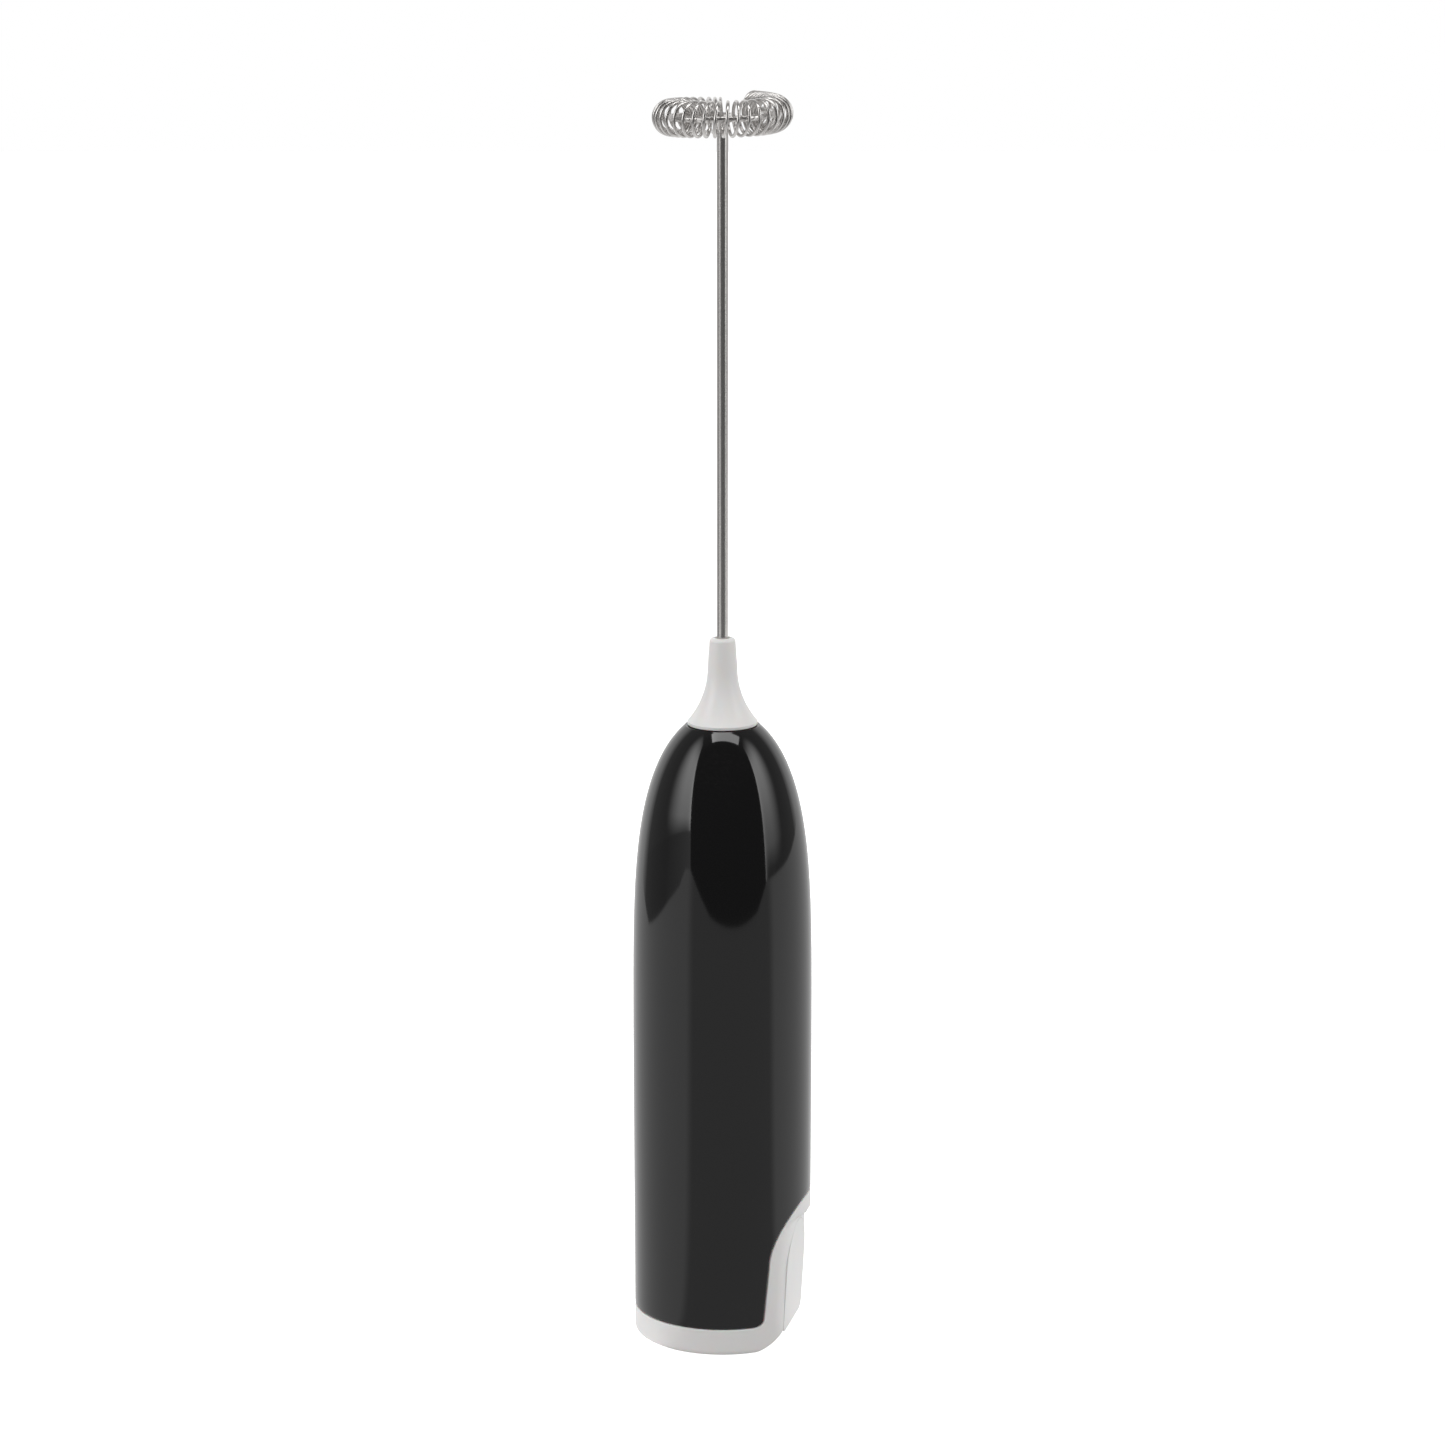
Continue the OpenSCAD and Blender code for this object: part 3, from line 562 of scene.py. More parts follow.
class CoilRecipe(NodeRecipe):
    """A coil wound round a rising ring, closed up at both of its ends."""

    def __init__(self) -> None:
        """Builds the tree."""
        super().__init__("coil_round_ring", (
            ("Points Per Turn", "NodeSocketInt"), ("First Closed Turns", "NodeSocketFloat"),
            ("Open Turns", "NodeSocketFloat"), ("Last Closed Turns", "NodeSocketFloat"),
            ("Closed Step", "NodeSocketFloat"), ("Start Angle", "NodeSocketFloat"),
            ("End Angle", "NodeSocketFloat"), ("Ring Radius", "NodeSocketFloat"),
            ("Coil Radius", "NodeSocketFloat"), ("Foot Height", "NodeSocketFloat"),
            ("Rise", "NodeSocketFloat"), ("Wander", "NodeSocketFloat"), ("Seed", "NodeSocketInt"),
            ("Wire Radius", "NodeSocketFloat"), ("Sides", "NodeSocketInt"),
            ("Material", "NodeSocketMaterial")))
        given = self.start.outputs
        turns = self.maths("ADD", self.maths("ADD", given["First Closed Turns"],
                                             given["Open Turns"]), given["Last Closed Turns"])
        count = self.maths("ADD", self.maths("MULTIPLY", turns, given["Points Per Turn"]), 1.0)
        line = self.node("GeometryNodeMeshLine")
        self.link(count, line.inputs["Count"])
        index = self.node("GeometryNodeInputIndex").outputs[0]
        turn = self.maths("DIVIDE", index, given["Points Per Turn"])
        angle = self._angle(turn)
        span = self.maths("SUBTRACT", given["End Angle"], given["Start Angle"])
        share = self.maths("DIVIDE", self.maths("SUBTRACT", angle, given["Start Angle"]), span)
        rise = self.maths("MULTIPLY", share, given["Rise"])
        wind = self.maths("MULTIPLY", turn, math.tau)
        loose = self._wander(turn)
        size = self.maths("ADD", given["Coil Radius"], loose)
        radius = self.maths("ADD", given["Ring Radius"],
                            self.maths("MULTIPLY", size, self.maths("COSINE", wind)))
        height = self.maths("ADD", self.maths("ADD", given["Foot Height"], rise),
                            self.maths("MULTIPLY", size, self.maths("SINE", wind)))
        place = self.node("ShaderNodeCombineXYZ")
        self.link(self.maths("MULTIPLY", radius, self.maths("COSINE", angle)), place.inputs["X"])
        self.link(self.maths("MULTIPLY", radius, self.maths("SINE", angle)), place.inputs["Y"])
        self.link(height, place.inputs["Z"])
        shape = self.node("GeometryNodeSetPosition")
        self.link(line.outputs[0], shape.inputs["Geometry"])
        self.link(place.outputs[0], shape.inputs["Position"])
        curve = self.node("GeometryNodeMeshToCurve")
        self.link(shape.outputs[0], curve.inputs["Mesh"])
        self.finish(self.swept(curve.outputs["Curve"]))

    def _angle(self, turn: bpy.types.NodeSocket) -> bpy.types.NodeSocket:
        """Direction round the ring after some turns.

        Args:
            turn: Turns from the start.

        Returns:
            The angle in radians.
        """
        given = self.start.outputs
        first, last = given["First Closed Turns"], given["Last Closed Turns"]
        closed = self.maths("MULTIPLY", self.maths("ADD", first, last), given["Closed Step"])
        span = self.maths("SUBTRACT", given["End Angle"], given["Start Angle"])
        step = self.maths("DIVIDE", self.maths("SUBTRACT", span, closed), given["Open Turns"])
        past = self.maths("MAXIMUM", self.maths("SUBTRACT", turn, first), 0.0)
        opened = self.maths("MINIMUM", past, given["Open Turns"])
        after = self.maths("MAXIMUM", self.maths("SUBTRACT", past, given["Open Turns"]), 0.0)
        shut = self.maths("MULTIPLY", self.maths("ADD", self.maths("MINIMUM", turn, first), after),
                          given["Closed Step"])
        moved = self.maths("ADD", shut, self.maths("MULTIPLY", opened, step))
        return self.maths("ADD", moved, given["Start Angle"])

    def _wander(self, turn: bpy.types.NodeSocket) -> bpy.types.NodeSocket:
        """Small differences of size from turn to turn.

        Args:
            turn: Turns from the start.

        Returns:
            How much larger the coil is there.
        """
        noise = self.node("ShaderNodeTexNoise", noise_dimensions="1D")
        noise.inputs["Scale"].default_value = 0.7
        self.link(self.maths("ADD", turn, self.start.outputs["Seed"]), noise.inputs["W"])
        centred = self.maths("SUBTRACT", noise.outputs["Fac"], 0.5)
        return self.maths("MULTIPLY", centred, self.start.outputs["Wander"])


# ---------------------------------------------------------------------------------------------
# Meshes


def baked(made: bpy.types.Object) -> bpy.types.Object:
    """Turns an object with modifiers into one with a plain mesh.

    Args:
        made: The object.

    Returns:
        The same object.
    """
    graph = bpy.context.evaluated_depsgraph_get()
    mesh = bpy.data.meshes.new_from_object(made.evaluated_get(graph))
    made.modifiers.clear()
    old = made.data
    made.data = mesh
    mesh.name = made.name
    bpy.data.meshes.remove(old)
    return made


def rounded(made: bpy.types.Object, width: float, angle: float) -> bpy.types.Object:
    """Rounds an object's sharp edges.

    Args:
        made: The object.
        width: Width of the rounding.
        angle: Angle past which an edge is rounded, in degrees.

    Returns:
        The object.
    """
    soften = made.modifiers.new("edges", "BEVEL")
    soften.width = width * MM
    soften.segments = 2
    soften.limit_method = "ANGLE"
    soften.angle_limit = math.radians(angle)
    return baked(made)


def linked(name: str, data: bpy.types.ID) -> bpy.types.Object:
    """An object for a mesh or a camera, linked to the scene.

    Args:
        name: The object's name.
        data: Its mesh or camera.

    Returns:
        The object.
    """
    made = bpy.data.objects.new(name, data)
    bpy.context.scene.collection.objects.link(made)
    return made


def arc(cx: float, cz: float, r: float, a0: float, a1: float, n: int = 8
        ) -> list[tuple[float, float]]:
    """Points on an arc.

    Args:
        cx: Centre across.
        cz: Centre up.
        r: Radius.
        a0: First angle in degrees.
        a1: Last angle in degrees.
        n: Number of steps.

    Returns:
        The points.
    """
    angles = [math.radians(a0 + (a1 - a0) * i / n) for i in range(n + 1)]
    return [(cx + r * math.cos(a), cz + r * math.sin(a)) for a in angles]


def smooth_min(a: float, b: float, k: float) -> float:
    """The smaller of a and b, rounded over k where they cross.

    Args:
        a: First value.
        b: Second value.
        k: Width of the rounding.

    Returns:
        The rounded minimum.
    """
    h = max(k - abs(a - b), 0.0) / k
    return min(a, b) - h * h * k / 4


def mesh_from(name: str, points: Iterable[Point], faces: Iterable[Sequence[int]],
              edges: Iterable[Sequence[int]] = ()) -> bpy.types.Object:
    """An object from points in millimetres, with its faces turned outwards.

    Args:
        name: The object's name.
        points: Its points.
        faces: Its faces.
        edges: Its edges, for a bare line.

    Returns:
        The object, linked to the scene.
    """
    mesh = bpy.data.meshes.new(name)
    mesh.from_pydata([tuple(c * MM for c in p) for p in points], list(edges), list(faces))
    mesh.validate()
    made = linked(name, mesh)
    if mesh.polygons:
        tidy(mesh, 30.0)
    return made


def tidy(mesh: bpy.types.Mesh, crease: float) -> None:
    """Merges doubled points, turns faces outwards and shades the mesh smooth up to an angle.

    Args:
        mesh: The mesh.
        crease: Angle in degrees past which an edge stays sharp.
    """
    form = bmesh.new()
    form.from_mesh(mesh)
    bmesh.ops.remove_doubles(form, verts=form.verts, dist=1e-6)
    bmesh.ops.dissolve_degenerate(form, edges=form.edges, dist=1e-7)
    bmesh.ops.recalc_face_normals(form, faces=form.faces)
    form.to_mesh(mesh)
    form.free()
    mesh.shade_smooth()
    mesh.set_sharp_from_angle(angle=math.radians(crease))


def loft(name: str, rows: Sequence[Row], closed: bool = False) -> bpy.types.Object:
    """A mesh through closed rows of points; a row of one point is a pole.

    Args:
        name: The object's name.
        rows: Rows of equal length, or of one point.
        closed: True if the last row joins the first.

    Returns:
        The object.
    """
    points: list[Point] = []
    starts = []
    for row in rows:
        starts.append(len(points))
        points.extend(row)
    faces = []
    pairs = list(zip(range(len(rows) - 1), range(1, len(rows))))
    if closed:
        pairs.append((len(rows) - 1, 0))
    for i, j in pairs:
        a, b, n, m = starts[i], starts[j], len(rows[i]), len(rows[j])
        for k in range(max(n, m)):
            q = (k + 1) % max(n, m)
            if n == 1:
                faces.append((a, b + q, b + k))
            elif m == 1:
                faces.append((a + k, a + q, b))
            else:
                faces.append((a + k, a + q, b + q, b + k))
    return mesh_from(name, points, faces)


def turned(name: str, profile: Sequence[tuple[float, float]], sides: int, closed: bool,
           centre: tuple[float, float] = (0.0, 0.0)) -> bpy.types.Object:
    """A turned shape about the axis.

    Args:
        name: The object's name.
        profile: Radius and height of each point; a radius of 0 is a pole.
        sides: Number of sides.
        closed: True if the profile is a loop.
        centre: Where the axis stands.

    Returns:
        The object.
    """
    rows: list[Row] = []
    for r, z in profile:
        if r < 1e-6:
            rows.append([(centre[0], centre[1], z)])
        else:
            turn = [math.tau * k / sides for k in range(sides)]
            rows.append([(centre[0] + r * math.cos(a), centre[1] + r * math.sin(a), z)
                         for a in turn])
    return loft(name, rows, closed)


def cut(made: bpy.types.Object, tools: Sequence[bpy.types.Object]) -> bpy.types.Object:
    """Cuts tools out of an object.

    Args:
        made: The object.
        tools: Closed meshes, which are removed afterwards.

    Returns:
        The object, with a plain mesh.
    """
    for tool in tools:
        step = made.modifiers.new("cut", "BOOLEAN")
        step.operation = "DIFFERENCE"
        step.solver = "EXACT"
        step.object = tool
    baked(made)
    for tool in tools:
        bpy.data.objects.remove(tool)
    return made


# ---------------------------------------------------------------------------------------------
# Forms


@dataclass(frozen=True)
class HandleForm:
    """The rule for the handle's outer face."""

    base_r: float = 15.86
    handle_r: float = 16.0
    dome_z: float = 46.7
    dome_l: float = 67.9
    power: float = 4.73

    def radius(self, z: float) -> float:
        """Radius at height z.

        Args:
            z: Height.

        Returns:
            The radius.
        """
        wide = self.base_r + (self.handle_r - self.base_r) * min(z / self.dome_z, 1)
        high = max(z - self.dome_z, 0) / self.dome_l
        return wide * math.sqrt(1 - high ** self.power)


@dataclass(frozen=True)
class ArchForm:
    """The line where the black shell meets the white base, all round the handle."""

    foot: float = 12.25
    top_r: float = 11.25
    top_z: float = 15.5
    corner_r: float = 1.3
    ring_h: float = 4.85
    ring_columns: int = 132

    def line(self, grow: float, z0: float, radius: Callable[[float], float]
             ) -> list[tuple[float, float]]:
        """Points round the handle, from the back and back to it.

        Args:
            grow: How much wider the arch is.
            z0: Height of the ring part.
            radius: The handle's radius by height.

        Returns:
            Angle and height of each point; the arch is at angle 0.
        """
        half = self.foot + (self.top_r - self.foot) * z0 / self.top_z + grow
        top_r = self.top_r + grow
        corner = arc(half + self.corner_r, z0 + self.corner_r, self.corner_r, 270, 180, 12)
        steps = 26
        side = [(half + (top_r - half) * i / steps,
                 z0 + self.corner_r + (self.top_z - z0 - self.corner_r) * i / steps)
                for i in range(1, steps)]
        crown = arc(0, self.top_z, top_r, 0, 90, 36)
        right = [(math.asin(y / radius(z)), z) for y, z in corner + side + crown]
        first = right[0][0]
        ring = [(math.pi + (first - math.pi) * i / self.ring_columns, z0)
                for i in range(self.ring_columns)]
        half_line = ring + right
        left = [(-a, z) for a, z in half_line[:-1]]
        return left + half_line[::-1][:-1]

    def regular(self, line: Sequence[tuple[float, float]]) -> list[float]:
        """Evenly spread angles that go with a line's points, away from the line.

        Args:
            line: Angles and heights from line().

        Returns:
            An angle for each point.
        """
        middle = len(line) // 2
        edge = self.ring_columns
        first = -line[edge][0]
        inner = middle - edge
        angles = []
        for i, (a, _) in enumerate(line):
            off = i - middle
            if abs(off) <= inner:
                angles.append(first * off / inner)
            else:
                angles.append(a)
        return angles


def offset_line(line: Sequence[tuple[float, float]], r: float, distance: float
                ) -> list[tuple[float, float]]:
    """Moves a line on the handle sideways, upwards on its ring part.

    Args:
        line: Angles and heights, all round.
        r: The handle's radius.
        distance: How far.

    Returns:
        The moved line.
    """
    n = len(line)
    flat = [(a * r, z) for a, z in line]
    moved = []
    for i in range(n):
        if i == 0:
            s, t = 1.0, 0.0
        else:
            before, after = flat[i - 1], flat[(i + 1) % n] if i < n - 1 else flat[i]
            s, t = after[0] - before[0], after[1] - before[1]
        size = math.hypot(s, t) or 1.0
        moved.append(((flat[i][0] - t / size * distance) / r, flat[i][1] + s / size * distance))
    return moved


def polar(r: float, a: float, z: float) -> Point:
    """The point at radius r, angle a and height z."""
    return r * math.cos(a), r * math.sin(a), z


# ---------------------------------------------------------------------------------------------
# Sub-assemblies


@dataclass
class Assembly:
    """Pieces that belong together and the finishes they take."""

    finishes: Finishes
    handle: HandleForm = field(default_factory=HandleForm)
    arch: ArchForm = field(default_factory=ArchForm)

    def place(self, piece: bpy.types.Object, slot: str, *nodes: str,
              body: str | None = None) -> bpy.types.Object:
        """Dresses a piece and puts it on the CAD body of the nodes that it stands for.

        Args:
            piece: The piece.
            slot: Its finish.
            *nodes: CAD nodes that it stands for.
            body: Its body, if it stands for no node.

        Returns:
            The piece.
        """
        piece.data.materials.clear()
        piece.data.materials.append(self.finishes[slot])
        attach(piece, body or frame["nodes"][nodes[0]]["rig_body"])
        if nodes:
            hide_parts(*nodes)
        LOG.info("%s: %d faces, %s", piece.name, len(piece.data.polygons), slot)
        return piece

    def smoothed(self, node: str, slot: str, edge: float = 0.0,
                 crease: float = 32.0) -> bpy.types.Object:
        """A merged and smoothed copy of a CAD node.

        Args:
            node: The CAD node.
            slot: Its finish.
            edge: Width of the rounding on its sharp edges, or 0.
            crease: Angle past which an edge stays sharp.

        Returns:
            The piece.
        """
        mesh = frame["nodes"][node].data.copy()
        mesh.name = f"{node}_skin"
        tidy(mesh, crease)
        piece = linked(f"{node}_skin", mesh)
        if edge:
            tidy(rounded(piece, edge, crease).data, crease)
        return self.place(piece, slot, node)

    def wire(self, name: str, path: Sequence[Point], radius: float, slot: str,
             node: str, recipe: WireRecipe, sides: int = 14) -> bpy.types.Object:
        """Round wire along a path.

        Args:
            name: The piece's name.
            path: Its centre line.
            radius: The wire's radius.
            slot: Its finish.
            node: The CAD node that it stands for.
            recipe: The tree that sweeps it.
            sides: Sides of the wire.

        Returns:
            The piece.
        """
        line = mesh_from(name, path, (), [(i, i + 1) for i in range(len(path) - 1)])
        recipe.run(line, {"Wire Radius": radius * MM, "Sides": sides,
                          "Material": self.finishes[slot]})
        tidy(line.data, 40.0)
        return self.place(line, slot, node)


@dataclass
class HousingSet(Assembly):
    """The black shell, the nose cone, and the motor with what holds it."""

    tip_z: float = 112.0
    bore_r: float = 14.75
    wall: float = 1.2
    lip: float = 0.32
    mouth_r: float = 5.0
    mouth_h: float = 1.6
    crowding: float = 1.7
    cone_rim_r: float = 6.2
    cone_top: float = 127.6
    cone_bore_r: float = 1.25

    def build(self, wire: WireRecipe) -> None:
        """Builds and dresses every piece of the housing.

        Args:
            wire: The tree that sweeps wire.
        """
        self.place(self.shell(), "black_shell", "housing_shell")
        self.place(self.cone(), "white_plastic", "nose_cone")
        for node, slot in (("motor_holder", "natural_plastic"), ("contact_carrier", "grey_plastic"),
                           ("top_plate", "contact_brass"), ("motor_end_cap", "natural_plastic")):
            self.smoothed(node, slot, 0.08)
        for node, slot in (("motor_screws", "bright_steel"), ("motor_can", "motor_steel"),
                           ("motor_magnets", "ferrite"), ("motor_brushes", "carbon"),
                           ("front_bush", "sintered_bronze"), ("rear_bush", "sintered_bronze")):
            self.smoothed(node, slot)
        self.leads(wire)
        self.spring(wire)

    def shell(self) -> bpy.types.Object:
        """The black shell, with a rounded lip all along its lower edge.

        Returns:
            The piece.
        """
        line = self.arch.line(0.1, self.arch.ring_h + 0.06, self.handle.radius)
        even = self.arch.regular(line)
        r = self.handle.base_r
        rows: list[Row] = [[polar(self.bore_r, a, z) for a, z in line]]
        for i in range(7):
            turn = math.radians(90 * i / 6)
            edge = offset_line(line, r, self.lip * (1 - math.cos(turn)))
            depth = self.lip * (1 - math.sin(turn))
            rows.append([polar(self.handle.radius(z) - depth, a, z) for a, z in edge])
        edge = offset_line(line, r, self.lip)
        for i in range(1, 31):
            part = i / 30
            rows.append([self._between(a, z, b, part) for (a, z), b in zip(edge, even)])
        for i in range(1, 91):
            z = self.handle.dome_z + (self.tip_z - 0.25 - self.handle.dome_z) * (
                1 - (1 - i / 90) ** self.crowding)
            rows.append([polar(self.handle.radius(z), a, z) for a in even])
        mouth_z = self.tip_z - self.mouth_h
        for ring_r, z in ((self.mouth_r + 1.6, self.tip_z - 0.02), (self.mouth_r + 0.2, self.tip_z),
                          (self.mouth_r, self.tip_z - 0.2), (self.mouth_r, mouth_z)):
            rows.append([polar(ring_r, a, z) for a in even])
        for i in range(1, 31):
            z = mouth_z - (mouth_z - self.handle.dome_z) * (i / 30) ** self.crowding
            inner = min(self.bore_r, self.handle.radius(z) - self.wall)
            rows.append([polar(inner, a, z) for a in even])
        for i in range(1, 12):
            part = 1 - i / 12
            rows.append([polar(self.bore_r, a + (b - a) * part,
                               z + (self.handle.dome_z - z) * part)
                         for (a, z), b in zip(line, even)])
        return loft("housing_shell_skin", rows, closed=True)

    def _between(self, a: float, z: float, b: float, part: float) -> Point:
        """A point on the outer face between the lip and the dome's foot.

        Args:
            a: Angle at the lip.
            z: Height at the lip.
            b: Angle at the dome's foot.
            part: How far up, from 0 to 1.

        Returns:
            The point.
        """
        height = z + (self.handle.dome_z - z) * part
        return polar(self.handle.radius(height), a + (b - a) * part, height)

    def cone(self) -> bpy.types.Object:
        """The flared white nose cone with its bore and its spigot.

        Returns:
            The piece.
        """
        flare_r, lip, edge = 14.9, 0.22, 0.7
        flare_z, flare_x = self.cone_top - 5.27, 2.65 + 14.9
        rim_z = self.tip_z + 0.05
        end = 180 + math.degrees(math.asin((flare_z - rim_z - 0.6) / flare_r))
        profile = [(4.9, rim_z), (self.cone_rim_r - lip, rim_z)]
        profile += arc(self.cone_rim_r - lip, rim_z + lip, lip, -90, 20, 6)
        profile += arc(flare_x, flare_z, flare_r, end, 180, 48)
        profile += arc(2.33 - edge, self.cone_top - edge, edge, 0, 90, 10)
        profile += arc(self.cone_bore_r + 0.2, self.cone_top - 0.2, 0.2, 90, 180, 4)
        profile += [(self.cone_bore_r, self.tip_z + 9), (3, self.tip_z + 2.5),
                    (3.4, self.tip_z - 3.4), (4.9, self.tip_z - 3.4)]
        return turned("nose_cone_skin", profile, 192, closed=True)

    def leads(self, wire: WireRecipe) -> None:
        """The two short leads to the motor.

        Args:
            wire: The tree that sweeps wire.
        """
        ends = (("lead_red", "red_insulation", (-2.42, 7.2, 60.85), (1.5, 9.8, 61.3),
                 (4.65, 6.6, 61.4)),
                ("lead_black", "black_insulation", (-3.4, -7.2, 60.85), (1.5, -9.8, 61.3),
                 (4.65, -6.6, 61.4)))
        for node, slot, a, b, c in ends:
            path = []
            for i in range(25):
                f = i / 24
                path.append(tuple((1 - f) ** 2 * p + 2 * f * (1 - f) * q + f * f * s
                                  for p, q, s in zip(a, b, c)))
            self.wire(f"{node}_skin", path, 0.45, slot, node, wire)

    def spring(self, wire: WireRecipe) -> None:
        """The conical spring over the left cell, with its tail.

        Args:
            wire: The tree that sweeps wire.
        """
        path = [(-4.0, -7.2, 61.2), (-4.0, -7.2, 58.4), (-3.6, -7.2, 58.05), (-2.2, -7.2, 58.05)]
        turns, low, high = 4, 54.7, 58.05
        for i in range(turns * 32 + 1):
            f = i / (turns * 32)
            a = math.pi + math.tau * turns * f
            r = 2.2 + 1.8 * f
            path.append((r * math.cos(a), -7.2 + r * math.sin(a), high + (low - high) * f))
        self.wire("top_spring_skin", path, 0.35, "bright_steel", "top_spring", wire)


@dataclass
class BaseSet(Assembly):
    """The white base with its arch, the cradle, the cells and their contacts."""

    face_x: float = 12.82
    face_lean: float = 0.058
    face_top: float = 21.4
    scoop_r: float = 2.0
    toe_x: float = 6.55
    toe_r: float = 8.5
    edge_r: float = 0.8
    crease: float = 1.5
    lip: float = 0.16
    button_half: float = 7.55
    button_mid: float = 13.7
    collar_r: float = 14.55
    panel_in: float = 13.6
    floor_t: float = 1.6
    cell_y: float = 7.2

    def face_at(self, z: float) -> float:
        """How far out the flat face is at height z.

        Args:
            z: Height.

        Returns:
            Distance from the axis, large above the flat.
        """
        if z <= self.face_top:
            return self.face_x + self.face_lean * z
        up = z - self.face_top
        if up >= self.scoop_r:
            return 60.0
        start = self.face_x + self.face_lean * self.face_top
        return start + self.scoop_r - math.sqrt(self.scoop_r ** 2 - up ** 2)

    def toe_at(self, z: float) -> float:
        """How far out the rounded underside reaches at height z.

        Args:
            z: Height.

        Returns:
            Distance from the axis.
        """
        down = self.toe_r - 0.4 - z
        if down <= 0:
            return 60.0
        return self.toe_x + math.sqrt(self.toe_r ** 2 - down ** 2)

    def outer(self, a: float, z: float) -> float:
        """Radius of the base's outer face.

        Args:
            a: Angle from the arch's middle.
            z: Height.

        Returns:
            The radius.
        """
        r = self.handle.radius(z)
        if z < self.edge_r:
            low = self.edge_r - z
            r += math.sqrt(max(self.edge_r ** 2 - low ** 2, 0.0)) - self.edge_r
        ahead = math.cos(a)
        if ahead > 0.2:
            r = smooth_min(r, self.face_at(z) / ahead, self.crease)
            if z < 6:
                r = smooth_min(r, self.toe_at(z) / ahead, self.crease * 0.5)
        return r

    def build(self, wire: WireRecipe) -> None:
        """Builds and dresses every piece of the base.

        Args:
            wire: The tree that sweeps wire.
        """
        self.place(self.cap(), "white_plastic", "base_cap")
        self.smoothed("battery_cradle", "grey_plastic", 0.15)
        for node, slot in (("cradle_screws", "bright_steel"), ("hinge_pin", "bright_steel"),
                           ("cell_can_left", "cell_case"), ("cell_can_right", "cell_case"),
                           ("cell_sleeve_left", "cell_sleeve"),
                           ("cell_sleeve_right", "cell_sleeve")):
            self.smoothed(node, slot)
        for node in ("plus_strip", "minus_strip"):
            self.smoothed(node, "contact_brass", 0.06)
        self.spring(wire)

    def spring(self, wire: WireRecipe) -> None:
        """The conical spring under one cell, from its wide foot up.

        Args:
            wire: The tree that sweeps wire.
        """
        turns, foot_r, taper, foot_z, height, steps = 2.2, 3.8, 1.6, 4.1, 0.6, 79
        path = []
        for i in range(steps + 1):
            part = i / steps
            a, r = math.tau * turns * part, foot_r - taper * part
            path.append((r * math.cos(a), self.cell_y + r * math.sin(a), foot_z + height * part))
        self.wire("base_spring_skin", path, 0.3, "bright_steel", "base_spring", wire)

    def cap(self) -> bpy.types.Object:
        """The base cap: ring, arch, collar, floor and the opening for the button.

        Returns:
            The piece.
        """
        line = self.arch.line(0.0, self.arch.ring_h, self.handle.radius)
        even = self.arch.regular(line)
        rim = [self.outer(a, 0.0) for a in even]
        rows: list[Row] = [[(0.0, 0.0, 0.0)]]
        for f in (0.3, 0.6, 0.85, 0.97):
            rows.append([polar(r * f, a, 0.0) for r, a in zip(rim, even)])
        heights = (0.0, 0.04, 0.12, 0.22, 0.35, 0.5, 0.65, 0.8, 1.0, 1.25, 1.5, 1.75, 2.0, 2.2,
                   2.4, 2.6, 2.8, 3.0)
        for z in heights:
            rows.append([polar(self.outer(a, z), a, z) for a in even])
        shoulder = offset_line(line, self.handle.base_r, -self.lip)
        for i in range(1, 71):
            part = i / 70
            row = []
            for (a, z), b in zip(shoulder, even):
                angle, height = b + (a - b) * part, 3.0 + (z - 3.0) * part
                row.append(polar(self.outer(angle, height), angle, height))
            rows.append(row)
        for i in range(1, 6):
            turn = math.radians(90 * i / 5)
            edge = offset_line(line, self.handle.base_r, -self.lip * (1 - math.sin(turn)))
            depth = self.lip * (1 - math.cos(turn))
            rows.append([polar(self.outer(a, z) - depth, a, z) for a, z in edge])
        rows += self._inside(line)
        made = loft("base_cap_skin", rows)
        return cut(made, self._openings())

    def _inside(self, line: Sequence[tuple[float, float]]) -> list[Row]:
        """Rows from the parting line over the collar to the middle of the floor.

        Args:
            line: The parting line.

        Returns:
            The rows.
        """
        depth = [self.panel_in if z > self.arch.ring_h + 0.6 else self.collar_r for _, z in line]
        inner = []
        for a, _ in line:
            reach = 7.25 ** 2 - (self.cell_y * math.cos(a)) ** 2
            pocket = self.cell_y * abs(math.sin(a)) + math.sqrt(max(reach, 0.0))
            inner.append(min(max(13.5, pocket if reach > 0 else 0.0), 14.4))
        rows = [[polar(r, a, z) for r, (a, z) in zip(depth, line)]]
        rows.append([polar(max(r, i + 0.04), a, 8.0) for r, i, (a, _) in zip(depth, inner, line)])
        for z in (8.0, 3.3):
            rows.append([polar(i, a, z) for i, (a, _) in zip(inner, line)])
        rows.append([polar(13.5, a, 3.3) for a, _ in line])
        for r in (13.5, 9.0, 4.0):
            rows.append([polar(r, a, self.floor_t) for a, _ in line])
        rows.append([(0.0, 0.0, self.floor_t)])
        return rows

    def _openings(self) -> list[bpy.types.Object]:
        """Tools for the button's opening and the two screw holes.

        Returns:
            The tools.
        """
        tools = []
        for name, x0, low in (("front", 9.7, -10.0), ("back", 7.0, self.floor_t + 0.003)):
            side = [(-self.button_half, low), (self.button_half, low)]
            side += arc(0, self.button_mid, self.button_half, 0, 180, 72)
            rows = [[(x, y, z) for y, z in side] for x in (x0, 22.0)]
            middle = (0.0, self.button_mid - 1)
            rows.insert(0, [(x0, *middle)])
            rows.append([(22.0, *middle)])
            tools.append(loft(f"opening_{name}", rows))
        for x in (-7.9, 7.9):
            tools.append(turned("screw_seat", [(0, -1), (2.2, -1), (2.2, 0.9), (1.1, 0.9),
                                               (1.1, 1.3), (0, 1.3)], 48, False, (x, 0.0)))
        return tools


